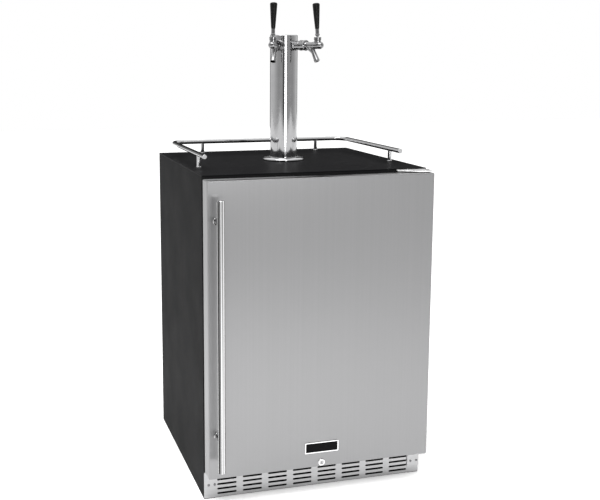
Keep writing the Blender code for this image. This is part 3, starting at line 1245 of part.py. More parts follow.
def make_gas_kit():
    """Gas cylinder on the shelf with its valve and handwheel, then the regulator and the hose."""
    side = [(CYLINDER_RADIUS * math.cos(angle),
             CYLINDER_HIGH - CYLINDER_SHOULDER + CYLINDER_SHOULDER * math.sin(angle))
            for angle in (math.pi / 2 * step / BALL_STEPS for step in range(BALL_STEPS, -1, -1))
            if math.cos(angle) * CYLINDER_RADIUS > CYLINDER_NECK]
    neck_top = CYLINDER_HIGH + CYLINDER_NECK_HIGH
    add_turned("co2_cylinder",
               [(0, neck_top), (CYLINDER_NECK, neck_top), (CYLINDER_NECK, CYLINDER_HIGH - GAP), *side,
                (CYLINDER_RADIUS, CYLINDER_FOOT_ROUND), (CYLINDER_RADIUS - CYLINDER_FOOT_ROUND, 0), (0, 0)],
               (CYLINDER_X, CYLINDER_Y, SHELF + GAP), ALUMINIUM)

    valve = add_turned("co2_valve",
                       [(0, VALVE_HIGH + VALVE_STEM_HIGH), (VALVE_STEM, VALVE_HIGH + VALVE_STEM_HIGH),
                        (VALVE_STEM, VALVE_HIGH), (VALVE_RADIUS, VALVE_HIGH), (VALVE_RADIUS, 0), (0, 0)],
                       (CYLINDER_X, CYLINDER_Y, VALVE_BASE), BRASS, steps=SMALL_STEPS)
    join(valve, add_rod("valve_outlet", (CYLINDER_X, CYLINDER_Y, OUTLET_Z),
                        (CYLINDER_X - VALVE_OUTLET_REACH, CYLINDER_Y, OUTLET_Z), VALVE_OUTLET_RADIUS,
                        steps=SMALL_STEPS))

    wheel_low = VALVE_BASE + VALVE_HIGH + GAP
    wheel = add_turned("co2_handwheel",
                       [(VALVE_STEM + GAP, WHEEL_HIGH), (WHEEL_RADIUS, WHEEL_HIGH), (WHEEL_RADIUS, 0),
                        (VALVE_STEM + GAP, 0)],
                       (CYLINDER_X, CYLINDER_Y, wheel_low), MACHINE_BLACK, ring=True)
    for scallop in range(WHEEL_SCALLOPS):
        angle = math.pi * (2 * scallop + 1) / WHEEL_SCALLOPS
        x, y = CYLINDER_X + WHEEL_RADIUS * math.cos(angle), CYLINDER_Y + WHEEL_RADIUS * math.sin(angle)
        cut(wheel, add_rod("wheel_scallop", (x, y, wheel_low - OVERRUN),
                           (x, y, wheel_low + WHEEL_HIGH + OVERRUN),
                           WHEEL_SCALLOP_RADIUS, steps=SMALL_STEPS))
    make_regulator()


def make_regulator():
    """Regulator with two gauges, its knob, and the gas hose down to the shelf."""
    def at(across=0.0, ahead=0.0, up=0.0):
        return REGULATOR_X + across, CYLINDER_Y - ahead, OUTLET_Z + up

    half_deep = REGULATOR_DEEP / 2
    body = add_rod("regulator_body", at(ahead=-half_deep), at(ahead=half_deep), REGULATOR_RADIUS, BRASS)
    nut_end = REGULATOR_REACH - VALVE_OUTLET_REACH - GAP
    join(body, add_rod("regulator_inlet", at(), at(across=nut_end), REGULATOR_STEM, steps=SMALL_STEPS),
         add_rod("regulator_nut", at(across=nut_end - REGULATOR_NUT), at(across=nut_end), REGULATOR_NUT,
                 steps=HEX_SIDES),
         add_rod("regulator_bonnet", at(), at(ahead=half_deep + BONNET_LONG), BONNET_RADIUS))
    for name, across, up in (("tank_gauge", 0, GAUGE_DISTANCE), ("line_gauge", -GAUGE_DISTANCE, 0)):
        join(body, add_rod(name + "_stem", at(), at(across, 0, up), REGULATOR_STEM, steps=SMALL_STEPS),
             add_rod(name, at(across, -GAUGE_THICK / 2, up), at(across, GAUGE_THICK / 2, up),
                     GAUGE_RADIUS))
    barb_tip = -REGULATOR_RADIUS - BARB_DROP
    join(body, add_rod("outlet_barb", at(), at(up=barb_tip), BARB_RADIUS, steps=SMALL_STEPS))

    knob_start = half_deep + BONNET_LONG + GAP
    knob = add_rod("regulator_knob", at(ahead=knob_start), at(ahead=knob_start + KNOB_LONG), KNOB_RADIUS,
                   MACHINE_BLACK)
    for flute in range(KNOB_FLUTES):
        angle = 2 * math.pi * flute / KNOB_FLUTES
        across, up = KNOB_RADIUS * math.cos(angle), KNOB_RADIUS * math.sin(angle)
        cut(knob, add_rod("knob_flute", at(across, knob_start - OVERRUN, up),
                          at(across, knob_start + KNOB_LONG + OVERRUN, up),
                          KNOB_FLUTE_RADIUS, steps=SMALL_STEPS))

    lying_z = SHELF + GAP + HOSE_RADIUS
    left_x = COUPLING_X[1] + (REGULATOR_X - COUPLING_X[1]) / 2
    route = rounded_path([at(up=barb_tip - GAP), (REGULATOR_X, CYLINDER_Y, lying_z),
                          (left_x - HOSE_BEND, CYLINDER_Y, lying_z)], HOSE_BEND)
    add_tube("gas_hose", route, HOSE_RADIUS, RED_HOSE)


def make_beer_lines():
    """Two lines from the shanks' elbows down the column to wing nuts that stand on the shelf."""
    elbow_z = TAP_Z - ELBOW_DROP - GAP
    for side, way, x in (("left", -1, COUPLING_X[0]), ("right", 1, COUPLING_X[1])):
        top_x = way * ELBOW_REACH * math.sin(tap_angle())
        top_y = TOWER_Y - ELBOW_REACH * math.cos(tap_angle())
        y = CAVITY_BACK - COUPLING_OFF_WALL
        foot = SHELF + GAP
        route = flowing_path([
            (top_x, top_y, elbow_z), (top_x, top_y, (elbow_z + HEIGHT) / 2), (top_x, top_y, HEIGHT),
            (top_x, top_y, CEILING - LINE_TURN / 2), (x / 2, (top_y + y) / 2, CEILING - LINE_TURN),
            (x, y, CEILING - 2 * LINE_TURN), (x, y, (CEILING + SHELF) / 2),
            (x, y, foot + COUPLING_HIGH / 2)])
        line = as_mesh(add_tube("beer_line_" + side, route, BEER_LINE_RADIUS, CLEAR_HOSE))
        join(line, add_rod("wing_nut_" + side, (x, y, foot), (x, y, foot + COUPLING_HIGH), COUPLING_RADIUS,
                           steps=OCTAGON_SIDES))


def main():
    """Builds every piece."""
    start_scene()
    make_cutters()
    make_cabinet()
    make_base()
    make_panels()
    make_hinges()
    make_door()
    make_rail()
    make_tower()
    make_taps()
    make_machine_room()
    make_cold_space()
    make_gas_kit()
    make_beer_lines()


main()
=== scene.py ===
"""The looks of a two-tap kegerator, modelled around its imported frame.

Metres, +Z up. The front faces -Y. The pieces are grouped as on the real machine: case, door, guard rail,
draft tower with its taps, cold space, gas kit and machine room.
"""

from math import cos, radians, sin, tan

import bmesh
import bpy
from mathutils import Matrix, Vector


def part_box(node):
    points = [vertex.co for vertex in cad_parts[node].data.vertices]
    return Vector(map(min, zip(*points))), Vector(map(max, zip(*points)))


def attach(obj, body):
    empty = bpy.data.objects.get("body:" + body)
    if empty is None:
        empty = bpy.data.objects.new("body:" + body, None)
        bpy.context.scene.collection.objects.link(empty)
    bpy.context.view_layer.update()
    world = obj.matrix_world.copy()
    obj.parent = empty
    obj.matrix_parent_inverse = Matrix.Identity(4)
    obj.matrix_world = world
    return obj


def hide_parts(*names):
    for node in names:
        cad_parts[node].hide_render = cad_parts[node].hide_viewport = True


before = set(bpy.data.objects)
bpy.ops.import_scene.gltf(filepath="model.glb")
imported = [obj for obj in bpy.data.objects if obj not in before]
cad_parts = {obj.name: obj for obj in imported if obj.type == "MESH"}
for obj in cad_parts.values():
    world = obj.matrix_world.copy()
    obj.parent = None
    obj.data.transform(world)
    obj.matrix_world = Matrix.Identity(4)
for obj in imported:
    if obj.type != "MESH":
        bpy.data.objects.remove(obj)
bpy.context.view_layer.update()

# How finely round things are drawn, how far a cutter passes what it cuts, and the slit between two pieces
SIDES, SMALL_SIDES = 64, 24
CORNER_STEPS, BEND_STEPS = 6, 10
SHARP = 32
WELD = 0.00001
OVERRUN = 0.002
GAP = 0.0003
DOWN, UP, AHEAD, BEHIND, RIGHTWARD = (0, 0, -1), (0, 0, 1), (0, -1, 0), (0, 1, 0), (1, 0, 0)

# Photograph's view: principal point and focal length in its 600 x 500 pixels, then the camera's own place
PHOTO_WIDE, PHOTO_HIGH = 600, 500
PHOTO_CENTRE = (252, 204.5)
PHOTO_FOCAL = 943
SENSOR = 36
EYE = (-0.814, -2.528, 1.138)
EYE_TURN, EYE_TILT = 15.94, -9.0

# Case and its sheets. A grid is its columns, their pitch, its rows and their pitch.
PANEL_EDGE = 0.0004
LOWER_ROOM = ((-0.257, -0.2835, 0.112), (0.257, 0.132, 0.808))
UPPER_ROOM = ((-0.257, 0.10, 0.330), (0.257, 0.247, 0.808))
ROOM_FRONT = -0.28
LINER_WALL, LINER_FILLET, SHELF_FILLET = 0.0015, 0.010, 0.003
PASSAGE_START, PASSAGE_END, PASSAGE_RADIUS = 0.79, 0.83, 0.030
SLOT_LONG, SLOT_HIGH = 0.052, 0.005
SLOT_GRID = (8, 0.069, 5, 0.0125)
KICK_SCREWS = (0.012, 0.028)
LOUVRE_LONG, LOUVRE_HIGH, LOUVRE_DEEP, LOUVRE_SHEET = 0.096, 0.013, 0.006, 0.0008
LOUVRE_GRID, LOUVRE_MIDDLE = (4, 0.120, 5, 0.030), 0.1705
SCREW_RADIUS, HINGE_SCREW_RADIUS = 0.0034, 0.0042
OUTER_SCREW, INNER_SCREW, COVER_INSET = 0.288, 0.10, 0.008
SIDE_SCREWS, EDGE_SCREWS = (0.33, 0.57, 0.81), (0.31, 0.83)
GLAND_SEAT = 0.285

# Door and what is fitted to it. The keyway is its width, depth and height.
DOOR_FACE, DOOR_SHEET, DOOR_FOLD = -0.338, 0.0009, 0.0022
HANDLE_EDGE = 0.0012
HANDLE_POSTS = (0.192, 0.740)
POST_RADIUS, POST_FOOT, POST_FOOT_THICK = 0.0065, 0.009, 0.003
TRAY_EDGE = 0.0012
BADGE_RIM, BADGE_SINK = 0.0026, 0.0009
LOCK_HEIGHT, LOCK_BACK = 0.088, 0.0453
LOCK_HEAD, LOCK_BARREL, LOCK_PLUG = 0.009, 0.0075, 0.0055
LOCK_PROUD, LOCK_CAM, CAM_HALF = 0.003, 0.0022, 0.005
KEYWAY = (0.0016, 0.006, 0.0065)
PIN_RADIUS, PIN_HEAD, PIN_HEAD_HIGH = 0.004, 0.006, 0.0012
UPPER_HINGE_SCREW = (0.247, -0.2923)
LOWER_HINGE_SCREWS, LOWER_HINGE_FACE, LOWER_HINGE_MIDDLE = (0.2785, 0.2955), -0.2898, 0.036
GASKET_WIDE, GASKET_BEAD = 0.014, 0.007

# Guard rail
RAIL_RADIUS, RAIL_BEND = 0.00635, 0.036
RAIL_HALF, RAIL_BACK = 0.272, 0.235
RAIL_POST, RAIL_FOOT, RAIL_FOOT_HIGH = 0.0055, 0.0075, 0.0025
RAIL_POSTS = ((RAIL_HALF, -0.120), (0.180, RAIL_BACK))

# Tower and taps: a tap's distances run out from the tower's axis, its heights up from its own axis
TOP = 0.846
TOWER_RADIUS, TOWER_WALL, TOWER_EDGE = 0.0381, 0.0015, 0.002
TAP_HEIGHT, TAP_TURN = 1.164, 32
SHANK_RADIUS, SHANK_START, SHANK_END = 0.011, 0.024, 0.0655
ELBOW_START, ELBOW_CORNER, ELBOW_LOW = 0.030, 0.012, 1.142
NUT_RADIUS, NUT_START, NUT_END, NUT_RIM = 0.0145, 0.060, 0.0805, 0.004
NUT_HOLES, NUT_HOLE = 8, 0.0017
LEVER_AT, STEM_HIGH, PIVOT_HIGH = 0.1186, 0.014, 0.016
LEVER_LEAN, LEVER_BALL = 4, 0.0064
SPOUT_START, SPOUT_END, SPOUT_DROP = 0.096, 0.118, 0.043
BODY_BORE, BODY_BORE_END, SPOUT_BORE, STEM_BORE = 0.0062, 0.1275, 0.0050, 0.0069
GRIP_START, GRIP_LONG, GRIP_STEPS = 0.0278, 0.0665, 14

# Fans, gas kit, lines and machine room. A gauge is its name, its place beside and above the regulator, and its
# needle's turn. A beer line's end is its side, the way it leans and its x. The pipes' passage is its left, right
# and front.
FAN_RADIUS, FAN_HUB, FAN_HUB_LONG, FAN_BLADES = 0.044, 0.013, 0.016, 5
BLADE_HALF, BLADE_THICK, BLADE_TILT, BLADE_TWIST = 0.012, 0.0014, 32, -12
FAN_HOLE, MOTOR_RADIUS, MOTOR_ARM = 0.0475, 0.018, 0.006
COVER_WALL, VENT_AT, VENT_PITCH, VENT_ROWS = 0.002, 0.105, 0.012, 7
PIPE_PASSAGE = (-0.221, -0.197, 0.235)
CYLINDER_RADIUS, SHOULDER, SHOULDER_HIGH = 0.054, 0.2548, 0.045
OUTLET_HEIGHT, REGULATOR_AWAY, REGULATOR_NUT = 0.020, 0.062, 0.0263
GAUGES = (("tank_gauge", 0, 0.048, 215), ("line_gauge", -0.048, 0, 150))
GAUGE_RADIUS, GAUGE_THICK = 0.021, 0.014
DIAL_START, DIAL_SWEEP = -45, 270
HOSE_RADIUS, HOSE_BEND = 0.0048, 0.040
LINE_IN_COLUMN, COLUMN_HEIGHTS = (0.0064, -0.0102), (0.994, 0.846, 0.7855)
LINE_ENDS, WALL_HEIGHTS = (("left", -1, -0.150), ("right", 1, -0.050)), (0.718, 0.569, 0.3415)
LINE_BEND_Y, LINE_BEND_Z, COUPLER_Y = 0.0874, 0.763, 0.185
PIPE_RADIUS, PIPE_BEND = 0.003, 0.0025
RISER_Y, PLATE_X, PIPE_Y = 0.241, -0.1903, 0.2245
CAN_LIFT, SEAM_HEIGHT, PAD_X, PAD_Y = 0.012, 0.095, 0.083, 0.040
FIN_COUNT, FIN_THICK, FIN_INSET = 44, 0.0005, 0.006
FRAME_SHEET, FRAME_BAND = 0.003, 0.012
TUBE_RADIUS, TUBE_PITCH, TUBE_ROWS = 0.0032, 0.011, (0.022, 0.045, 0.068)
TUBE_LAYERS, TUBE_LOWEST, LAYER_PITCH = 5, 0.035, 0.030

DUST_COLOUR, WHITE = (0.30, 0.28, 0.25, 1), (1, 1, 1, 1)

# Studio light: brightness of the room by direction, with a dark flag behind the machine and a dark band at
# its right, then soft boxes as (name, place, aim, wide, high, watts). The floor glows a little, so that it
# hardly takes a shadow.
FRONT_LIGHT, BEHIND_LIGHT, TOP_LIGHT = 0.56, 1.0, 0.9
FRONT_EDGES, TOP_EDGES = (-0.45, 0.35), (0.3, 0.9)
FLAG_WAY, FLAG_EDGES, FLAG_DARK = (0.29, 0.95, 0.05), (0.78, 0.92), 0.04
BAND_WAY, BAND_HALF, BAND_EDGES, BAND_DARK = (0.953, -0.302, 0), 0.20, (0.35, 0.65), 0.18
BAND_AHEAD = (-0.3, 0.0)
FLOOR_GLOW = 0.30
SPREAD = 100
LIGHTS = (
    ("key_softbox", (-0.9, -1.3, 3.2), (-0.2, -0.6, 0), 2.4, 1.8, 35),
    ("front_strip", (-0.06, -3.2, 0.98), (0, 0, 1.05), 0.62, 0.75, 4.6),
)


def only(piece=None):
    """Leaves edit mode, and selects one piece or none."""
    if bpy.context.mode != "OBJECT":
        bpy.ops.object.mode_set(mode="OBJECT")
    bpy.ops.object.select_all(action="DESELECT")
    if piece is not None:
        piece.select_set(True)
        bpy.context.view_layer.objects.active = piece
    return piece


def named(name):
    """Names the primitive that was just added, and puts its place in its mesh."""
    piece = bpy.context.object
    piece.name = piece.data.name = name
    only(piece)
    bpy.ops.object.transform_apply(location=True, rotation=True, scale=True)
    return piece


def edit(piece):
    """Opens one piece in edit mode with nothing selected."""
    only(piece)
    bpy.ops.object.mode_set(mode="EDIT")
    bpy.ops.mesh.select_all(action="DESELECT")


def pick(kind, wanted):
    """In edit mode, selects just those vertices, edges or faces that wanted says yes to."""
    bpy.ops.mesh.select_all(action="DESELECT")
    bpy.ops.mesh.select_mode(type=kind)
    mesh = bpy.context.object.data
    shape = bmesh.from_edit_mesh(mesh)
    parts = {"VERT": shape.verts, "EDGE": shape.edges, "FACE": shape.faces}[kind]
    for part in parts:
        if wanted(part):
            part.select_set(True)
    shape.select_flush_mode()
    bmesh.update_edit_mesh(mesh)


def soften(wanted, width, segments=4):
    """In edit mode, rounds those edges that wanted says yes to."""
    pick("EDGE", wanted)
    bpy.ops.mesh.bevel(offset=width, segments=segments, affect="EDGES")


def open_at(wanted):
    """In edit mode, removes those faces that wanted says yes to."""
    pick("FACE", wanted)
    bpy.ops.mesh.delete(type="FACE")


def middle(part):
    """The middle of an edge or a face."""
    return sum((corner.co for corner in part.verts), Vector()) / len(part.verts)


def close_up(piece):
    """Merges doubles and points a piece's faces outwards."""
    edit(piece)
    bpy.ops.mesh.select_all(action="SELECT")
    bpy.ops.mesh.remove_doubles(threshold=WELD)
    bpy.ops.mesh.normals_make_consistent(inside=False)
    return only(piece)


def settle(piece, matrix):
    """Moves a shape by a matrix and puts its new place in its mesh."""
    piece.matrix_world = matrix
    only(piece)
    bpy.ops.object.transform_apply(location=True, rotation=True, scale=True)
    return piece


def put(piece, at, toward=UP):
    """Lays a shape that stands on the origin along a direction, at a place."""
    tilt = Vector(UP).rotation_difference(Vector(toward)).to_matrix().to_4x4()
    return settle(piece, Matrix.Translation(at) @ tilt)


def turned_about(degrees, axis="Z", centre=(0, 0, 0)):
    """The matrix that turns something about a line through a centre."""
    centre, turning = Vector(centre), Matrix.Rotation(radians(degrees), 4, axis)
    return Matrix.Translation(centre) @ turning @ Matrix.Translation(-centre)


def moves(places):
    """The matrices that move something to places."""
    return [Matrix.Translation(place) for place in places]


def mm(*points):
    """Points of an outline, each a radius and a height, given in millimetres."""
    return [(radius / 1000, height / 1000) for radius, height in points]


def raised(height, points):
    """Points of an outline moved up."""
    return [(radius, height + rise) for radius, rise in points]


def apply(piece, kind, **settings):
    """Puts one modifier on a shape and applies it."""
    only(piece)
    modifier = piece.modifiers.new(kind.lower(), kind)
    for setting, value in settings.items():
        setattr(modifier, setting, value)
    bpy.ops.object.modifier_apply(modifier=modifier.name)
    return piece


def round_edges(piece, width, segments=2, angle=40):
    """Rounds a shape's sharp edges."""
    return apply(piece, "BEVEL", width=width, segments=segments, limit_method="ANGLE",
                 angle_limit=radians(angle))


def cut(target, *others, operation="DIFFERENCE"):
    """Takes other shapes out of a shape, and removes them."""
    for other in others:
        apply(target, "BOOLEAN", operation=operation, solver="EXACT", object=other)
        bpy.data.objects.remove(other)
    return target


def join(target, *others):
    """Makes one body of several shapes."""
    return cut(target, *others, operation="UNION")


def block(name, low, high, edge=0.0, corner=0.0, along=2, segments=2):
    """A block between two corners: its edges along one axis rounded, then all its sharp edges softened."""
    only()
    low, high = Vector(low), Vector(high)
    size = high - low
    bpy.ops.mesh.primitive_cube_add(size=1, location=(low + high) / 2, scale=size)
    piece = named(name)
    if corner:
        edit(piece)
        soften(lambda side: abs((side.verts[0].co - side.verts[1].co)[along]) > size[along] / 2, corner,
               CORNER_STEPS)
        only(piece)
    return round_edges(piece, edge, segments) if edge else piece


def turn(name, profile, ring=False, sides=SIDES):
    """A shape turned about Z: a circle, extruded and resized from each (radius, height) to the next."""
    only()
    points = list(profile)
    tip = points.pop(0) if points[0][0] == 0 else None
    radius, height = points[0]
    fill = "TRIFAN" if tip else "NOTHING" if ring else "NGON"
    bpy.ops.mesh.primitive_circle_add(vertices=sides, radius=radius, location=(0, 0, height), fill_type=fill)
    piece = named(name)
    edit(piece)
    if tip:
        pick("VERT", lambda corner: corner.co.xy.length < radius / 2)
        bpy.ops.transform.translate(value=(0, 0, tip[1] - height))
    pick("EDGE", lambda side: len(side.link_faces) < 2)
    if ring:
        points.append(points[0])
    for (before, low), (after, high) in zip(points, points[1:]):
        bpy.ops.mesh.extrude_edges_move(TRANSFORM_OT_translate={"value": (0, 0, high - low)})
        if after == 0:
            bpy.ops.mesh.merge(type="CENTER")
            break
        share = after / before
        bpy.ops.transform.resize(value=(share, share, 1), center_override=(0, 0, high))
    else:
        if not ring:
            bpy.ops.mesh.edge_face_add()
    return close_up(piece)


def rod(name, start, end, radius, edge=0.0, sides=SIDES):
    """A round bar between two points, its ends chamfered."""
    start, end = Vector(start), Vector(end)
    long = (end - start).length
    profile = [(0, 0), (radius, 0), (radius, long), (0, long)]
    if edge:
        profile = [(0, 0), (radius - edge, 0), (radius, edge), (radius, long - edge), (radius - edge, long),
                   (0, long)]
    return put(turn(name, profile, sides=sides), start, end - start)


def pipe(name, corners, radius, bend, sides=SMALL_SIDES):
    """A bent round bar: a circle pushed along each straight and spun round each bend."""
    only()
    corners = [Vector(corner) for corner in corners]
    way = (corners[1] - corners[0]).normalized()
    tilt = Vector(UP).rotation_difference(way).to_euler()
    bpy.ops.mesh.primitive_circle_add(vertices=sides, radius=radius, location=corners[0], rotation=tilt,
                                      fill_type="NGON")
    piece = named(name)
    edit(piece)
    pick("EDGE", lambda side: True)
    here = corners[0]
    for corner, after in zip(corners[1:], corners[2:]):
        onward = (after - corner).normalized()
        angle, axis = way.angle(onward), way.cross(onward).normalized()
        reach = bend * tan(angle / 2)
        start = corner - way * reach
        bpy.ops.mesh.extrude_edges_move(TRANSFORM_OT_translate={"value": start - here})
        bpy.ops.mesh.spin(steps=BEND_STEPS, angle=-angle, center=start + axis.cross(way) * bend, axis=axis)
        here, way = corner + onward * reach, onward
    bpy.ops.mesh.extrude_edges_move(TRANSFORM_OT_translate={"value": corners[-1] - here})
    bpy.ops.mesh.edge_face_add()
    return close_up(piece)


def bridged(name, rings, sides=SMALL_SIDES):
    """A shape bridged between round rings, each given as (place, direction, radius)."""
    only()
    piece = None
    for place, toward, radius in rings:
        tilt = Vector(UP).rotation_difference(Vector(toward)).to_euler()
        bpy.ops.mesh.primitive_circle_add(vertices=sides, radius=radius, location=place, rotation=tilt)
        if piece is None:
            piece = named(name)
            edit(piece)
    bpy.ops.mesh.select_all(action="SELECT")
    bpy.ops.mesh.bridge_edge_loops()
    bpy.ops.mesh.fill_holes(sides=0)
    return close_up(piece)


def hose(name, places, radius, sides=SMALL_SIDES):
    """A limp round line along a smooth curve through places."""
    only()
    line = bpy.data.curves.new(name, "CURVE")
    line.dimensions, line.bevel_depth, line.use_fill_caps = "3D", radius, True
    line.bevel_resolution = sides // 4 - 1
    spline = line.splines.new("BEZIER")
    spline.bezier_points.add(len(places) - 1)
    for point, place in zip(spline.bezier_points, places):
        point.co = place
        point.handle_left_type = point.handle_right_type = "AUTO"
    piece = bpy.data.objects.new(name, line)
    bpy.context.scene.collection.objects.link(piece)
    only(piece)
    bpy.ops.object.convert(target="MESH")
    return close_up(bpy.context.object)


def copied(piece, name, matrix):
    """A copy of a finished shape with its own mesh, moved by a matrix."""
    twin = bpy.data.objects.new(name, piece.data.copy())
    bpy.context.scene.collection.objects.link(twin)
    twin.data.transform(matrix)
    return twin


def repeat(piece, matrices):
    """One piece made of copies of a shape, each moved by a matrix."""
    name = piece.name
    copies = [copied(piece, name + "_copy", matrix) for matrix in matrices]
    bpy.data.objects.remove(piece)
    only(copies[0])
    for twin in copies:
        twin.select_set(True)
    bpy.ops.object.join()
    copies[0].name = copies[0].data.name = name
    return only(copies[0])


def grid(columns, pitch, rows, row_pitch, y, middle_z):
    """Moves to the places of a grid on an upright panel."""
    return moves(((column - (columns - 1) / 2) * pitch, y, middle_z + (row - (rows - 1) / 2) * row_pitch)
                 for row in range(rows) for column in range(columns))


def around(count, axis="Z", centre=(0, 0, 0), first=0.0):
    """Turns that spread copies evenly about a line."""
    return [turned_about(first + 360 * step / count, axis, centre) for step in range(count)]


def span(node):
    """The lowest and highest corners of a CAD node."""
    low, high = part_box(node)
    return Vector(low), Vector(high)


def centre(node):
    """The middle of a CAD node's box."""
    return [(least + most) / 2 for least, most in zip(*span(node))]


def fit(piece, slot, body, *nodes, finish=None):
    """Finishes a piece: smooth shading, its finish, the body it rides on and the CAD nodes it stands for."""
    only(piece)
    bpy.ops.object.shade_smooth_by_angle(angle=radians(SHARP))
    apply(piece, "WEIGHTED_NORMAL", keep_sharp=True)
    piece.data.materials.clear()
    piece.data.materials.append(finishes[finish or slot])
    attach(piece, body)
    if nodes:
        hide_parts(*nodes)
    return piece


def from_frame(name, node, slot, body="cabinet", edge=PANEL_EDGE, segments=2, finish=None):
    """A CAD node's own shape as clean flat faces, with its edges rounded, finished in the node's stead."""
    piece = copied(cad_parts[node], name, Matrix())
    edit(piece)
    bpy.ops.mesh.select_all(action="SELECT")
    bpy.ops.mesh.remove_doubles(threshold=WELD)
    bpy.ops.mesh.dissolve_limited(angle_limit=radians(0.5))
    only(piece)
    if edge:
        round_edges(piece, edge, segments)
    return fit(piece, slot, body, node, finish=finish)


def dress(node, slot):
    """Gives a CAD node that stays its finish."""
    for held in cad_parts[node].material_slots:
        held.material = finishes[slot]


# Screws take the darker copy of the chrome, painted shade, unless given another look
def screws(name, places, toward, radius=SCREW_RADIUS, look="tap_chrome_painted_shade"):
    """Pan-head screws with cross recesses, fitted to the cabinet."""
    high = radius / 2
    head = turn(name, [(0, high), (radius * 0.45, high * 0.97), (radius * 0.8, high * 0.75),
                       (radius * 0.97, high * 0.35), (radius, -GAP)], sides=SMALL_SIDES)
    wide, long = radius * 0.16, radius * 0.62
    for half_x, half_y in ((wide, long), (long, wide)):
        cut(head, block("recess", (-half_x, -half_y, high * 0.35), (half_x, half_y, high + OVERRUN)))
    put(head, (0, 0, 0), toward)
    fit(repeat(head, moves(places)), "brushed_stainless", "cabinet", finish=look)


# Finishes

def effect(name, taken, value, *given):
    """An empty shader node group with one named input and some outputs: its tree, its input, its outputs."""
    tree = bpy.data.node_groups.new(name, "ShaderNodeTree")
    kind = "NodeSocketVector" if isinstance(value, tuple) else "NodeSocketFloat"
    tree.interface.new_socket(taken, in_out="INPUT", socket_type=kind).default_value = value
    for label in given:
        tree.interface.new_socket(label, in_out="OUTPUT", socket_type="NodeSocketFloat")
    entry = tree.nodes.new("NodeGroupInput")
    return tree, entry.outputs[taken], tree.nodes.new("NodeGroupOutput").inputs


def node(tree, kind, inputs=None, **settings):
    """A shader node with its settings, and its inputs linked or set."""
    made = tree.nodes.new("ShaderNode" + kind)
    for setting, value in settings.items():
        setattr(made, setting, value)
    for socket, value in (inputs or {}).items():
        if isinstance(value, bpy.types.NodeSocket):
            tree.links.new(value, made.inputs[socket])
        else:
            made.inputs[socket].default_value = value
    return made


def flow(tree, kind, inputs=None, gives=0, **settings):
    """What a shader node puts out: its first output, or the one that is named."""
    return node(tree, kind, inputs, **settings).outputs[gives]


def between(tree, value, low, high, start=0.0, end=1.0):
    """A value that runs from low to high, made to run from start to end."""
    return flow(tree, "MapRange", dict(enumerate((value, low, high, start, end))))


def maths(tree, first, second, operation="MULTIPLY", **settings):
    """Two values multiplied, or taken together by another operation."""
    return flow(tree, "Math", {0: first, 1: second}, operation=operation, **settings)


def noise(tree, scale, detail, rough=0.5, place=None):
    """Soft noise over a piece's own coordinates, or over a place that is given."""
    if place is None:
        place = flow(tree, "TexCoord", gives="Object")
    return flow(tree, "TexNoise", {"Vector": place, "Scale": scale, "Detail": detail, "Roughness": rough})


def ramp(tree, mask, dark, light):
    """A ramp between two colours, led by a mask."""
    made = node(tree, "ValToRGB", {"Fac": mask})
    for stop, colour in zip(made.color_ramp.elements, (dark, light)):
        stop.color = (*colour, 1)
    return made


def make_effects():
    """Blotches, grain for brushed steel whose bands also make the handle's painted highlight streaks, fine bumps
    and settled dust, each built once.
    """
    tree, scale, gives = effect("blotches", "Scale", 6.0, "Mask")
    tree.links.new(between(tree, noise(tree, scale, 4.0, 0.55), 0.3, 0.7), gives["Mask"])

    # Brushing lines, and broad bands that on the handle are sharpened into painted highlights and painted dark
    # reflection lines
    tree, stretch, gives = effect("grain and painted streaks", "Stretch", (1500, 1500, 14), "Lines", "Bands")
    place = flow(tree, "TexCoord", gives="Object")
    drawn = flow(tree, "VectorMath", {0: place, 1: stretch}, operation="MULTIPLY")
    tree.links.new(noise(tree, 1.0, 3.0, 0.6, drawn), gives["Lines"])
    tree.links.new(noise(tree, 0.06, 5.0, 0.65, drawn), gives["Bands"])

    tree, scale, gives = effect("fine bumps", "Scale", 900.0, "Height")
    tree.links.new(noise(tree, scale, 2.0), gives["Height"])

    tree, amount, gives = effect("settled dust", "Amount", 0.5, "Mask")
    normal = flow(tree, "NewGeometry", gives="Normal")
    facing_up = between(tree, flow(tree, "SeparateXYZ", {0: normal}, "Z"), 0.3, 0.9)
    drift = between(tree, noise(tree, 60.0, 6.0, 0.7), 0.35, 0.65)
    tree.links.new(maths(tree, maths(tree, facing_up, drift), amount), gives["Mask"])


def placed(tree, name, **values):
    """One of the effects, placed in a material with its own values."""
    group = node(tree, "Group", node_tree=bpy.data.node_groups[name])
    for socket, value in values.items():
        group.inputs[socket].default_value = value
    return group.outputs


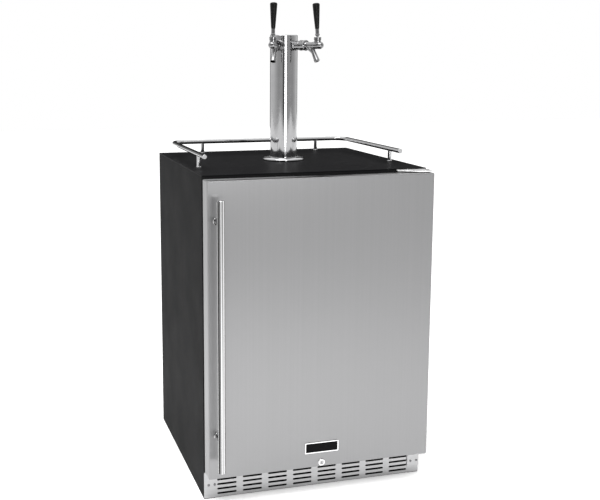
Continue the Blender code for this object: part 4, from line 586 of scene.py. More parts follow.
def finish(name, dark, light, rough, metallic=0.0, blotch=6.0, grain=None, soft=0.2, bumps=None, dust=0.0,
           **sockets):
    """A finish whose colour and gloss drift between two values, brushed, bumpy or dusty where asked; sharp grain
    bands, as on the handle, are painted highlights.
    """
    material = bpy.data.materials.new(name)
    material.use_nodes = True
    tree = material.node_tree
    shader = tree.nodes["Principled BSDF"]
    for socket, value in {"Metallic": metallic, **sockets}.items():
        shader.inputs[socket.replace("_", " ")].default_value = value
    # With a narrow soft, the grain's bands become painted highlight and dark reflection streaks, as on the
    # handle
    if grain:
        drawn = placed(tree, "grain and painted streaks", Stretch=grain[:3])
        mask = between(tree, drawn["Bands"], 0.5 - soft, 0.5 + soft)
        height, distance = drawn["Lines"], grain[3]
    else:
        mask = placed(tree, "blotches", Scale=blotch)["Mask"]
    if bumps:
        height, distance = placed(tree, "fine bumps", Scale=bumps[0])["Height"], bumps[1]
    colour = ramp(tree, mask, dark, light).outputs["Color"]
    gloss = between(tree, mask, 0.0, 1.0, *rough)
    if dust:
        settled = placed(tree, "settled dust", Amount=dust)["Mask"]
        colour = flow(tree, "MixRGB", {"Fac": settled, "Color1": colour, "Color2": DUST_COLOUR})
        gloss = maths(tree, gloss, settled, "ADD", use_clamp=True)
    tree.links.new(colour, shader.inputs["Base Color"])
    tree.links.new(gloss, shader.inputs["Roughness"])
    if grain or bumps:
        relief = flow(tree, "Bump", {"Strength": 1.0, "Distance": distance, "Height": height})
        tree.links.new(relief, shader.inputs["Normal"])
    if "Anisotropic" in sockets:
        along = flow(tree, "Tangent", direction_type="RADIAL", axis="Z")
        tree.links.new(along, shader.inputs["Tangent"])
    finishes[name] = material


def make_finishes():
    """Every finish on the machine."""
    finish("brushed_stainless", (0.243, 0.243, 0.246), (0.254, 0.254, 0.257), (0.29, 0.33), 1.0,
           grain=(3800, 3800, 14, 0.000005), Anisotropic=0.8)
    # A lighter copy of the door's stainless, its grain running across, for the kick sheet and the lower hinge
    # plate: painted light
    finish("kick_stainless_painted_light", (0.36, 0.36, 0.364), (0.40, 0.40, 0.404), (0.28, 0.34), 1.0,
           grain=(16, 3800, 3800, 0.000005))
    # Handle steel: near-black and bright streaks along the bar, painted highlights and painted dark reflection
    # lines
    finish("handle_steel_painted_glints", (0.015, 0.015, 0.015), (0.64, 0.64, 0.644), (0.12, 0.18), 1.0,
           grain=(3400, 3400, 3, 0.000003), soft=0.06)
    # A darker copy of the polished chrome, for the taps and the screws: painted shade
    finish("tap_chrome_painted_shade", (0.20, 0.20, 0.203), (0.25, 0.25, 0.253), (0.04, 0.07), 1.0, 90,
           bumps=(300, 0.000004))
    # Bright zinc plating, real on the back screws; on the stainless upper hinge plate its near-white is a
    # painted highlight
    finish("bright_zinc_and_painted_highlight", (0.78, 0.78, 0.78), (0.88, 0.88, 0.88), (0.34, 0.46), 1.0, 80,
           bumps=(600, 0.00001))
    # A lighter copy of the polished chrome, for the badge frame and the lock barrel: painted light
    finish("bright_trim_painted_light", (0.86, 0.86, 0.86), (0.93, 0.93, 0.93), (0.06, 0.11), 1.0, 60,
           bumps=(300, 0.000004))
    # Near-black with hardly any sheen for the galvanised base tray, so that the kick sheet's slots show dark:
    # painted shade
    finish("base_tray_painted_shade", (0.004, 0.004, 0.004), (0.007, 0.007, 0.007), (0.6, 0.75), blotch=20,
           bumps=(900, 0.00003), Specular_IOR_Level=0.05)
    finish("polished_chrome", (0.39, 0.39, 0.395), (0.43, 0.43, 0.435), (0.05, 0.09), 1.0, 40,
           bumps=(300, 0.0000008))
    finish("grey_case_paint", (0.0098, 0.0098, 0.0102), (0.0123, 0.0123, 0.0127), (0.52, 0.62), blotch=9,
           bumps=(1100, 0.00004), Specular_IOR_Level=0.012)
    finish("gloss_black_top", (0.0055, 0.0055, 0.006), (0.0075, 0.0075, 0.008), (0.36, 0.44), blotch=7,
           bumps=(160, 0.000012), Specular_IOR_Level=0.015)
    finish("black_grip", (0.003, 0.003, 0.003), (0.005, 0.005, 0.005), (0.20, 0.28), blotch=60,
           bumps=(1400, 0.00001), Specular_IOR_Level=0.14)
    finish("black_rubber", (0.014, 0.014, 0.014), (0.026, 0.026, 0.026), (0.7, 0.85), blotch=50,
           bumps=(1500, 0.00004))
    finish("liner_plastic", (0.070, 0.070, 0.075), (0.088, 0.088, 0.094), (0.38, 0.5), blotch=12,
           bumps=(1300, 0.00003))
    finish("insulating_foam", (0.66, 0.56, 0.30), (0.86, 0.78, 0.52), (0.9, 1.0), blotch=45,
           bumps=(700, 0.0006))
    finish("galvanised_steel", (0.33, 0.34, 0.35), (0.45, 0.46, 0.47), (0.35, 0.55), 1.0, 90,
           bumps=(120, 0.00003), dust=0.25)
    finish("machine_black", (0.014, 0.014, 0.015), (0.030, 0.030, 0.032), (0.32, 0.5), blotch=30,
           bumps=(500, 0.00003), dust=0.35)
    finish("black_moulding", (0.012, 0.012, 0.013), (0.024, 0.024, 0.025), (0.35, 0.5), blotch=40,
           bumps=(1300, 0.00003))
    finish("copper_tube", (0.58, 0.27, 0.14), (0.80, 0.44, 0.27), (0.22, 0.42), 1.0, 70,
           bumps=(400, 0.00001))
    finish("aluminium", (0.58, 0.59, 0.60), (0.70, 0.71, 0.72), (0.32, 0.45), 1.0, 25,
           bumps=(900, 0.00001))
    finish("brass", (0.62, 0.45, 0.20), (0.78, 0.62, 0.33), (0.2, 0.34), 1.0, 60,
           bumps=(500, 0.00001))
    finish("beer_hose", (0.66, 0.69, 0.68), (0.80, 0.82, 0.81), (0.15, 0.25), blotch=30,
           bumps=(200, 0.00002), Transmission_Weight=0.35, IOR=1.45)
    finish("gas_hose_red", (0.36, 0.020, 0.014), (0.48, 0.034, 0.022), (0.32, 0.45), blotch=35,
           bumps=(500, 0.00003))
    finish("button_white", (0.66, 0.66, 0.64), (0.76, 0.76, 0.74), (0.25, 0.35), blotch=60,
           bumps=(900, 0.00001))
    finish("gauge_glass", (0.92, 0.93, 0.93), (0.96, 0.97, 0.97), (0.02, 0.05), blotch=30,
           Transmission_Weight=1.0, IOR=1.46)


# Case

def make_case():
    """Painted shell, glossy top and back sheet, then what is fitted to them and lies in them."""
    from_frame("case_shell", "cabinet_wrap", "grey_case_paint")
    from_frame("top_sheet", "top_panel", "gloss_black_top", edge=0)
    from_frame("back_sheet", "back_panel", "galvanised_steel")
    # The galvanised base tray is made near-black: painted shade behind the kick sheet's slots
    from_frame("base_tray", "base_pan", "galvanised_steel", finish="base_tray_painted_shade")
    make_kick_sheet()
    make_back()
    make_feet()
    dress("foam_insulation", "insulating_foam")
    make_liner()


def make_kick_sheet():
    """Slotted sheet under the door, with its screws."""
    low, high = span("kick_grille")
    middle_z = centre("kick_grille")[2]
    sheet = block("kick_sheet", low, high)
    slot = block("slot", (-SLOT_LONG / 2, -OVERRUN, -SLOT_HIGH / 2), (SLOT_LONG / 2, OVERRUN, SLOT_HIGH / 2),
                 corner=SLOT_HIGH / 2.02, along=1)
    cut(sheet, repeat(slot, grid(*SLOT_GRID, low.y, middle_z)))
    # The kick sheet takes the lightened copy of the door's stainless: painted light
    fit(round_edges(sheet, PANEL_EDGE), "brushed_stainless", "cabinet", "kick_grille",
        finish="kick_stainless_painted_light")
    screws("kick_screws", [(low.x + inset, low.y - GAP, middle_z) for inset in KICK_SCREWS], AHEAD)


def make_back():
    """Cover of the machine room with its louvre hoods, the screws of the back, and the cord's gland."""
    low, high = span("rear_cover")
    from_frame("rear_sheet", "rear_cover", "grey_case_paint")
    hood = block("louvre_hoods", (-LOUVRE_LONG / 2, -GAP, -LOUVRE_HIGH / 2),
                 (LOUVRE_LONG / 2, LOUVRE_DEEP, LOUVRE_HIGH / 2))
    edit(hood)
    soften(lambda side: min(side.verts[0].co.y, side.verts[1].co.y) > 0 and middle(side).z > 0
           or abs(middle(side).x) > LOUVRE_LONG / 3 and middle(side).y > 0, LOUVRE_DEEP * 0.8)
    open_at(lambda face: face.normal.z < -0.9 or face.normal.y < -0.9)
    apply(hood, "SOLIDIFY", thickness=LOUVRE_SHEET, offset=-1)
    fit(repeat(hood, grid(*LOUVRE_GRID, high.y, low.z + LOUVRE_MIDDLE)), "grey_case_paint", "cabinet")
    edges = [(x, z) for x in (-OUTER_SCREW, -INNER_SCREW, INNER_SCREW, OUTER_SCREW)
             for z in (low.z + COVER_INSET, high.z - COVER_INSET)]
    edges += [(x, z) for x in (-OUTER_SCREW, OUTER_SCREW) for z in SIDE_SCREWS]
    edges += [(x, z) for x in (-INNER_SCREW, INNER_SCREW) for z in EDGE_SCREWS]
    screws("back_screws", [(x, high.y, z) for x, z in edges], BEHIND, look="bright_zinc_and_painted_highlight")

    x, _, z = centre("cord_gland")
    gland = turn("gland_bush", mm((4.5, 15), (5.5, 16), (8.2, 16), (9, 14.8), (9, 4.5), (9.5, 3.6),
                                  (12.2, 3.2), (13, 2.6), (13, 0.3), (9, 0.3), (9, -3), (4.5, -3)), ring=True)
    fit(put(gland, (x, GLAND_SEAT, z), BEHIND), "black_rubber", "cabinet", "cord_gland")


def make_feet():
    """Levelling feet, each a rubber pad on a threaded stud."""
    for side in ("left", "right"):
        foot = "levelling_foot_" + side
        x, y, _ = centre(foot)
        at = (x, y, span(foot)[0].z)
        pad = turn("foot_pad_" + side, mm((0, 9), (8.5, 9), (9.6, 8.4), (17.2, 5.2), (18, 4.2), (18, 0.8),
                                          (17.2, 0), (0, 0)))
        fit(put(pad, at), "black_rubber", side + "_foot", foot)
        thread = [(4 - 0.5 * (step % 2), 41.5 - 0.8 * step) for step in range(40)]
        stud = turn("foot_stud_" + side, mm((0, 42.5), (3.2, 42.5), *thread, (3.8, 9.2), (0, 9.2)),
                    sides=SMALL_SIDES)
        fit(put(stud, at), "galvanised_steel", side + "_foot")


def make_liner():
    """Moulded liner of the cold space with soft inner corners, stepped over the machine room."""
    room = join(block("cold_liner", *LOWER_ROOM), block("upper_room", *UPPER_ROOM))
    edit(room)
    for sign, fillet in ((1, LINER_FILLET), (-1, SHELF_FILLET)):
        soften(lambda side: max(side.verts[0].co.y, side.verts[1].co.y) > ROOM_FRONT
               and side.calc_face_angle_signed(0) * sign > 1, fillet)
    open_at(lambda face: face.normal.y < -0.9 and middle(face).y < ROOM_FRONT)
    bpy.ops.mesh.select_all(action="SELECT")
    bpy.ops.mesh.flip_normals()
    apply(room, "SOLIDIFY", thickness=LINER_WALL, offset=-1)
    cut(room, rod("line_passage", (0, 0, PASSAGE_START), (0, 0, PASSAGE_END), PASSAGE_RADIUS))
    fit(room, "liner_plastic", "cabinet", "inner_liner")


# Door

def make_door():
    """Folded door pan, its foam, inner tray and gasket, then what is fitted to it."""
    low, high = span("door_skin")
    pan = block("door_pan", low, high)
    edit(pan)
    soften(lambda side: min(side.verts[0].co.y, side.verts[1].co.y) < high.y - WELD, DOOR_FOLD)
    open_at(lambda face: face.normal.y > 0.9)
    apply(pan, "SOLIDIFY", thickness=DOOR_SHEET, offset=-1)
    x, y, _ = centre("top_hinge_pin")
    cut(pan, rod("upper_hole", (x, y, high.z - 0.01), (x, y, high.z + 0.01), PIN_RADIUS + GAP),
        rod("lower_hole", (x, y, low.z - 0.01), (x, y, low.z + 0.01), PIN_RADIUS + GAP),
        rod("lock_hole", (0, low.y - 0.01, LOCK_HEIGHT), (0, low.y + 0.01, LOCK_HEIGHT), LOCK_BARREL + GAP))
    fit(pan, "brushed_stainless", "door", "door_skin")
    dress("door_foam", "insulating_foam")
    from_frame("door_tray", "door_inner_panel", "liner_plastic", "door", TRAY_EDGE, 3)

    low, high = span("door_gasket")
    wide = Vector((GASKET_WIDE, -OVERRUN, GASKET_WIDE))
    seal = cut(block("magnet_seal", low + Vector((0, 0.003, 0)), high, corner=0.004, along=1),
               block("opening", low + wide, high - wide, corner=0.003, along=1))
    inset = (GASKET_WIDE - GASKET_BEAD) / 2
    outer, inner = Vector((inset, 0, inset)), Vector((inset + GASKET_BEAD, -OVERRUN, inset + GASKET_BEAD))
    bead = cut(block("bead", low + outer, high - outer, corner=0.003, along=1),
               block("opening", low + inner, high - inner, corner=0.002, along=1))
    fit(round_edges(join(seal, bead), 0.001, 3), "black_rubber", "door", "door_gasket")
    make_handle()
    make_badge()
    make_lock()
    make_hinges(x, y)


def make_handle():
    """Round bar on two welded posts, its steel streaked with painted highlights and painted dark reflection
    lines.
    """
    low, high = span("handle_bar")
    x, radius = (low.x + high.x) / 2, (high.x - low.x) / 2
    y = low.y + radius
    bar = rod("handle_rod", (x, y, low.z), (x, y, high.z), radius, HANDLE_EDGE)
    long = high.y - y
    for z in HANDLE_POSTS:
        post = turn("post", [
            (0, long), (POST_RADIUS, long), (POST_RADIUS, POST_FOOT_THICK + 0.0008),
            (POST_RADIUS + 0.0003, POST_FOOT_THICK + 0.0002), (POST_FOOT - 0.0006, POST_FOOT_THICK),
            (POST_FOOT, POST_FOOT_THICK - 0.0006), (POST_FOOT, 0)], sides=48)
        join(bar, put(post, (x, high.y, z), AHEAD))
    fit(bar, "brushed_stainless", "door", "handle_bar", finish="handle_steel_painted_glints")


def make_badge():
    """Bare plate in a frame of chrome lightened by painted light, low on the door."""
    low, high = span("badge_plate")
    rim = Vector((BADGE_RIM, -OVERRUN, BADGE_RIM))
    border = cut(block("badge_frame", low, high, corner=0.0015, along=1),
                 block("opening", low + rim, high - rim, corner=0.0008, along=1))
    fit(round_edges(border, 0.0005, 3), "polished_chrome", "door", "badge_plate", finish="bright_trim_painted_light")
    inside = Vector((BADGE_RIM - GAP, BADGE_SINK, BADGE_RIM - GAP))
    field = block("badge_field", low + inside, high - Vector((inside.x, 0, inside.z)), edge=0.0004)
    fit(field, "gloss_black_top", "door")


def make_lock():
    """Barrel of the lock, and the plug that turns in it with its cam behind the door."""
    bore, seat = LOCK_PLUG + GAP, (0, DOOR_FACE, LOCK_HEIGHT)
    barrel = turn("lock_shell", [
        (bore, LOCK_PROUD), (LOCK_HEAD - 0.0014, LOCK_PROUD), (LOCK_HEAD - 0.0004, LOCK_PROUD - 0.0005),
        (LOCK_HEAD, LOCK_PROUD - 0.0014), (LOCK_HEAD, GAP), (LOCK_BARREL, GAP), (LOCK_BARREL, -LOCK_BACK),
        (bore, -LOCK_BACK)], ring=True)
    # The barrel takes the lighter chrome copy: painted light
    fit(put(barrel, seat, AHEAD), "polished_chrome", "door", "lock_barrel", finish="bright_trim_painted_light")
    plug = turn("lock_core", [
        (0, LOCK_PROUD), (LOCK_PLUG - 0.0005, LOCK_PROUD), (LOCK_PLUG, LOCK_PROUD - 0.0005),
        (LOCK_PLUG, -LOCK_BACK - 0.001), (0, -LOCK_BACK - 0.001)])
    put(plug, seat, AHEAD)
    wide, deep, high = KEYWAY
    cam_low, cam_high = span("lock_plug")
    cut(plug, block("keyway", (-wide / 2, DOOR_FACE - LOCK_PROUD - OVERRUN, LOCK_HEIGHT - high / 2),
                    (wide / 2, DOOR_FACE - LOCK_PROUD + deep, LOCK_HEIGHT + high / 2)))
    cam = block("cam", (cam_low.x, cam_high.y - LOCK_CAM, LOCK_HEIGHT - CAM_HALF),
                (cam_high.x, cam_high.y, LOCK_HEIGHT + CAM_HALF), corner=0.003, along=1)
    join(plug, rod("tail", (0, DOOR_FACE + LOCK_BACK, LOCK_HEIGHT), (0, cam_high.y - GAP, LOCK_HEIGHT),
                   LOCK_PLUG / 2), cam)
    fit(plug, "polished_chrome", "lock", "lock_plug")


def make_hinges(x, y):
    """Brackets at the right of the case, their pins and their screws."""
    # The upper plate is stainless; its near-white zinc finish is a painted highlight
    from_frame("upper_hinge_plate", "top_hinge_bracket", "brushed_stainless", segments=3,
               finish="bright_zinc_and_painted_highlight")
    # The lower plate, stainless too, takes the lightened copy of the steel: painted light
    from_frame("lower_hinge_plate", "bottom_hinge_bracket", "brushed_stainless", segments=3,
               finish="kick_stainless_painted_light")
    plate_top = span("top_hinge_bracket")[1].z
    screws("upper_hinge_screws", [(*UPPER_HINGE_SCREW, plate_top)], UP, HINGE_SCREW_RADIUS)
    screws("lower_hinge_screws", [(screw_x, LOWER_HINGE_FACE, LOWER_HINGE_MIDDLE)
                                  for screw_x in LOWER_HINGE_SCREWS], AHEAD)
    for name, pin_node, way in (("upper_pin", "top_hinge_pin", DOWN), ("lower_pin", "bottom_hinge_pin", UP)):
        low, high = span(pin_node)
        long = high.z - low.z
        pin = turn(name, [
            (0, 0), (PIN_HEAD - 0.0005, 0), (PIN_HEAD, 0.0004), (PIN_HEAD, PIN_HEAD_HIGH),
            (PIN_RADIUS, PIN_HEAD_HIGH), (PIN_RADIUS, long - 0.001), (PIN_RADIUS - 0.001, long), (0, long)],
            sides=48)
        fit(put(pin, (x, y, high.z if way == DOWN else low.z), way), "brushed_stainless", "cabinet", pin_node)


# Guard rail and tower

def make_rail():
    """Bent guard rail with its four welded posts."""
    low, high = span("guard_rail")
    x, z = RAIL_HALF, high.z - RAIL_RADIUS
    rail = pipe("rail_tube", [(-x, low.y, z), (-x, RAIL_BACK, z), (x, RAIL_BACK, z), (x, low.y, z)],
                RAIL_RADIUS, RAIL_BEND, sides=32)
    round_edges(rail, 0.001, 3, 60)
    long = z - TOP
    for at_x, at_y in RAIL_POSTS:
        for side in (-1, 1):
            post = turn("post", [
                (0, long), (RAIL_POST, long), (RAIL_POST, RAIL_FOOT_HIGH + 0.0012),
                (RAIL_POST + 0.0004, RAIL_FOOT_HIGH + 0.0003), (RAIL_FOOT - 0.0005, RAIL_FOOT_HIGH),
                (RAIL_FOOT, RAIL_FOOT_HIGH - 0.0005), (RAIL_FOOT, GAP)], sides=40)
            join(rail, put(post, (side * at_x, at_y, TOP)))
    fit(rail, "polished_chrome", "cabinet", "guard_rail")


def make_tower():
    """Polished column in its base flange, with both taps."""
    low, high = span("tower_column")
    inner, crown = TOWER_RADIUS - TOWER_WALL, high.z - TOWER_EDGE
    rounded = [(TOWER_RADIUS - TOWER_EDGE + TOWER_EDGE * cos(radians(90 * step / 4)),
                crown + TOWER_EDGE * sin(radians(90 * step / 4))) for step in (1, 2, 3, 4)]
    column = turn("column_tube", [
        (0, crown - TOWER_WALL), (inner, crown - TOWER_WALL), (inner, low.z), (TOWER_RADIUS, low.z),
        (TOWER_RADIUS, crown), *rounded, (0, high.z)], sides=96)
    for side in (-1, 1):
        angle = radians(side * TAP_TURN)
        out = Vector((sin(angle), -cos(angle), 0))
        start = Vector((0, 0, TAP_HEIGHT))
        cut(column, rod("shank_hole", start + out * 0.03, start + out * 0.045, SHANK_RADIUS + GAP))
    fit(column, "polished_chrome", "cabinet", "tower_column")

    seat = TOWER_RADIUS + GAP
    flange = turn("column_flange", [
        (seat, 0.0098), *mm((44, 9.8), (48, 9.6), (51.5, 9), (54.3, 7.9), (56.2, 6.4), (57.2, 4.7), (57.5, 3),
                            (57.3, 1.2), (56.8, 0.3)), (seat, GAP)], ring=True, sides=96)
    fit(put(flange, (0, 0, TOP)), "polished_chrome", "cabinet", "tower_flange")
    for side, way in (("left", -1), ("right", 1)):
        make_tap(side, way * TAP_TURN)


def make_tap(side, degrees):
    """One tap, built straight ahead and turned outwards: shank, nut, body, collar, lever and handle."""
    base, spread = (0, 0, TAP_HEIGHT), turned_about(degrees)
    lever_foot = Vector((0, -LEVER_AT, TAP_HEIGHT))
    pivot = lever_foot + Vector((0, 0, PIVOT_HIGH))
    lean = spread @ turned_about(-LEVER_LEAN, "X", pivot)

    # The tap's chrome is the darker copy of the polished chrome: painted shade
    def chrome(piece, matrix, part, body="cabinet"):
        fit(settle(piece, matrix), "polished_chrome", body, part + side, finish="tap_chrome_painted_shade")

    thread = [(SHANK_RADIUS - 0.0006 * (step % 2), 0.0590 + 0.0009 * step) for step in range(6)]
    shank = turn("shank_" + side, [
        (0, SHANK_START), (SHANK_RADIUS, SHANK_START), (SHANK_RADIUS, 0.0262), (0.0128, 0.0262),
        (0.0128, 0.0322), (SHANK_RADIUS, 0.0322), (SHANK_RADIUS, 0.0384),
        *mm((13.2, 38.4), (14, 39.2), (14, 43.4), (13, 44.4), (12.6, 44.6), (12.6, 57.8), (12, 58.6)),
        (SHANK_RADIUS, 0.0586), *thread, (SHANK_RADIUS, SHANK_END - 0.001), (SHANK_RADIUS, SHANK_END),
        (0, SHANK_END)])
    put(shank, base, AHEAD)
    elbow = pipe("elbow", [(0, -ELBOW_START, TAP_HEIGHT), (0, -ELBOW_CORNER, TAP_HEIGHT),
                           (0, -ELBOW_CORNER, ELBOW_LOW)], 0.0036, 0.004)
    chrome(join(shank, elbow), spread, "faucet_shank_")

    bore, groove = SHANK_RADIUS + GAP, NUT_RADIUS - 0.0008
    nut = turn("shank_nut_" + side, [
        (bore, NUT_START), (NUT_RADIUS - 0.001, NUT_START), (NUT_RADIUS, NUT_START + 0.001),
        (NUT_RADIUS, NUT_START + NUT_RIM), (groove, NUT_START + NUT_RIM + 0.0005),
        (groove, NUT_END - NUT_RIM - 0.0005), (NUT_RADIUS, NUT_END - NUT_RIM), (NUT_RADIUS, NUT_END - 0.001),
        (NUT_RADIUS - 0.001, NUT_END), (bore, NUT_END)], ring=True)
    middle_z = (NUT_START + NUT_END) / 2
    hole = rod("hole", (groove - 0.002, 0, middle_z), (NUT_RADIUS, 0, middle_z), NUT_HOLE, sides=16)
    cut(nut, repeat(hole, around(NUT_HOLES)))
    chrome(put(nut, base, AHEAD), spread, "coupling_nut_")

    body = turn("tap_body_" + side, [
        (0, SHANK_END + GAP), (0.011, SHANK_END + GAP),
        *mm((11, 80.6), (10.4, 82.2), (9.5, 84.5), (8.9, 90), (8.5, 95.5), (8.7, 100.5), (9.4, 104.5),
            (10, 107.5), (10.2, 110), (10.2, 126.5), (9.7, 129), (8.5, 131.8), (7, 133.8), (5.2, 135),
            (2.8, 135.5), (0, 135.5))])
    put(body, base, AHEAD)
    stem = turn("stem", [(0, 0), (0.0088, 0), (0.0088, STEM_HIGH - 0.0006), (0.0082, STEM_HIGH),
                         (0, STEM_HIGH)])
    put(stem, lever_foot)
    top = Vector((0, -SPOUT_START, TAP_HEIGHT))
    tip = Vector((0, -SPOUT_END, TAP_HEIGHT - SPOUT_DROP))
    drop = (tip - top).length
    spout = turn("spout", [*mm((0, 0), (6.6, 0), (6.4, 10), (6.2, 18), (6.4, 26), (6.9, 35), (7.5, 43)),
                           (0.0078, drop - 0.0012), (0.0074, drop), (0, drop)])
    web = bridged("web", [((0, -0.0835, TAP_HEIGHT), AHEAD, 0.0098),
                          ((0, -0.1055, TAP_HEIGHT - 0.019), tip - top, 0.0062)])
    join(body, stem, put(spout, top, tip - top), web)
    round_edges(body, 0.0011, 3, 34)
    cut(body, rod("bore", top, tip + (tip - top).normalized() * OVERRUN, SPOUT_BORE),
        rod("bore", (0, -SHANK_END + OVERRUN, TAP_HEIGHT), (0, -BODY_BORE_END, TAP_HEIGHT), BODY_BORE),
        rod("bore", lever_foot, lever_foot + Vector((0, 0, STEM_HIGH + OVERRUN)), STEM_BORE))
    chrome(body, spread, "faucet_body_")

    collar = turn("stem_collar_" + side, raised(STEM_HIGH + GAP, mm(
        (7.6, 7), (8, 7.5), (9, 7.5), (9.8, 6.7), (9.8, 4.6), (9.3, 4.2), (9.3, 3), (9.8, 2.6), (9.8, 0.6),
        (9.2, 0), (7.6, 0))), ring=True)
    chrome(put(collar, lever_foot), spread, "faucet_collar_")

    ball = [(LEVER_BALL * sin(radians(angle)), LEVER_BALL * cos(radians(angle)))
            for angle in range(32, 160, 8)]
    lever = turn("lever_rod_" + side, [
        *mm((0, 37), (3, 37), (3, 27.5), (4.6, 27.5), (5, 27.1), (5, 14.2), (5.6, 13.6), (6.2, 12.8),
            (6.2, 10.4), (5.6, 9.6), (3.4, 9.5), (3.2, 7)),
        *ball, *mm((2, -6.4), (2, -14.4), (1.4, -15), (0, -15))], sides=48)
    chrome(put(lever, pivot), lean, "tap_lever_", side + "_tap")

    grip = [(0, GRIP_START), (0.0050, GRIP_START), (0.0056, GRIP_START + 0.0005)]
    for step in range(1, GRIP_STEPS + 1):
        share = step / GRIP_STEPS
        grip.append((0.0056 + 0.0041 * share ** 0.92, GRIP_START + (GRIP_LONG - 0.0045) * share + 0.0005))
    grip += raised(GRIP_START + GRIP_LONG, mm((9.7, -3), (9.5, -1.2), (8.8, 0.1), (7.4, 1), (5, 1.7),
                                              (2.5, 2), (0, 2)))
    handle = put(turn("handle_grip_" + side, grip), pivot)
    fit(settle(handle, lean), "black_grip", side + "_tap", "tap_handle_" + side)
    dress("faucet_plunger_" + side, "brushed_stainless")


# Cold space

def make_fan(name, at, toward, body, slot, fan_node):
    """A fan with twisted blades round a capped hub."""
    half = FAN_HUB_LONG / 2
    hub = turn(name, [
        (0, -half), (FAN_HUB - 0.001, -half), (FAN_HUB, -half + 0.001), (FAN_HUB, half - 0.003),
        (FAN_HUB - 0.001, half - 0.001), (FAN_HUB - 0.003, half), (0, half)])
    blade = block("blade", (FAN_HUB - 0.003, -BLADE_HALF, -BLADE_THICK / 2),
                  (FAN_RADIUS - 0.0006, BLADE_HALF, BLADE_THICK / 2), corner=0.004)
    edit(blade)
    bpy.ops.mesh.select_all(action="SELECT")
    bpy.ops.mesh.subdivide(number_cuts=3)
    only(blade)
    settle(blade, turned_about(BLADE_TILT, "X"))
    apply(blade, "SIMPLE_DEFORM", deform_method="TWIST", deform_axis="X", angle=radians(BLADE_TWIST))
    join(hub, repeat(blade, around(FAN_BLADES)))
    fit(put(hub, at, toward), slot, body, fan_node)


def motor_mount(plate, hole_centre, toward, across, can_start, can_end):
    """Joins a motor can and the spider that holds it across a round hole to a fan's plate."""
    middle_of_hole, toward = Vector(hole_centre), Vector(toward)
    for direction, other in ((Vector(across), Vector(UP)), (Vector(UP), Vector(across))):
        size = direction * (FAN_HOLE + MOTOR_ARM) + other * MOTOR_ARM / 2 + toward * 0.001
        ends = list(zip(middle_of_hole - size, middle_of_hole + size))
        join(plate, block("arm", [min(pair) for pair in ends], [max(pair) for pair in ends], edge=0.0004))
    return join(plate, rod("can", can_start, can_end, MOTOR_RADIUS, 0.0015))


def make_cold_space():
    """Evaporator plate, its cover with the fan, and the controls under the ceiling."""
    from_frame("evaporator_sheet", "evaporator_plate", "aluminium")
    low, high = span("evaporator_cover")
    x, _, z = centre("evaporator_cover")
    wall = Vector((COVER_WALL, COVER_WALL, COVER_WALL))
    passage_left, passage_right, passage_front = PIPE_PASSAGE
    cover = block("cold_cover", low, high, corner=0.006, along=1, edge=0.0016)
    cut(cover, block("room", low + wall, high - Vector((wall.x, -OVERRUN, wall.z)), corner=0.004, along=1),
        rod("fan_hole", (x, low.y - OVERRUN, z), (x, low.y + 0.004, z), FAN_HOLE),
        block("pipe_passage", (passage_left, passage_front, low.z - OVERRUN),
              (passage_right, high.y + OVERRUN, low.z + 0.004)))
    ring = turn("ring", [
        (FAN_HOLE - 0.001, 0), (FAN_HOLE + 0.004, 0), (FAN_HOLE + 0.004, 0.0012), (FAN_HOLE + 0.0025, 0.0024),
        (FAN_HOLE - 0.001, 0.0024)], ring=True)
    join(cover, put(ring, (x, low.y + GAP, z), AHEAD))
    slot = block("slot", (-0.045, -OVERRUN, -0.002), (0.045, 0.004, 0.002), corner=0.0019, along=1)
    cut(cover, repeat(slot, moves((x + side * VENT_AT, low.y, z + (row - VENT_ROWS // 2) * VENT_PITCH)
                                  for side in (-1, 1) for row in range(VENT_ROWS))))
    motor_mount(cover, (x, low.y + 0.001, z), AHEAD, RIGHTWARD, (x, low.y + 0.002, z), (x, low.y, z))
    fit(cover, "liner_plastic", "cabinet", "evaporator_cover")
    make_fan("cold_fan", (x, centre("circulation_fan")[1], z), BEHIND, "circulation_fan_wheel",
             "liner_plastic", "circulation_fan")

    low, high = span("control_housing")
    housing = block("control_box", low, high, edge=0.003, segments=4)
    for sense in ("colder", "warmer"):
        key_low, key_high = span(sense + "_button")
        key_x, _, key_z = centre(sense + "_button")
        radius, long = (key_high.x - key_low.x) / 2, key_high.y - key_low.y
        cut(housing, rod("well", (key_x, low.y - OVERRUN, key_z), (key_x, key_high.y + 0.002, key_z),
                         radius + GAP))
        cap = turn(sense + "_cap", [
            (0, long - 0.0007), (radius * 0.45, long - 0.0005), (radius * 0.8, long - 0.0001),
            (radius * 0.92, long), (radius, long - 0.0007), (radius, 0), (0, 0)], sides=48)
        fit(put(cap, (key_x, key_high.y, key_z), AHEAD), "button_white", sense + "_key", sense + "_button")
    fit(housing, "liner_plastic", "cabinet", "control_housing")


# Gas kit and lines

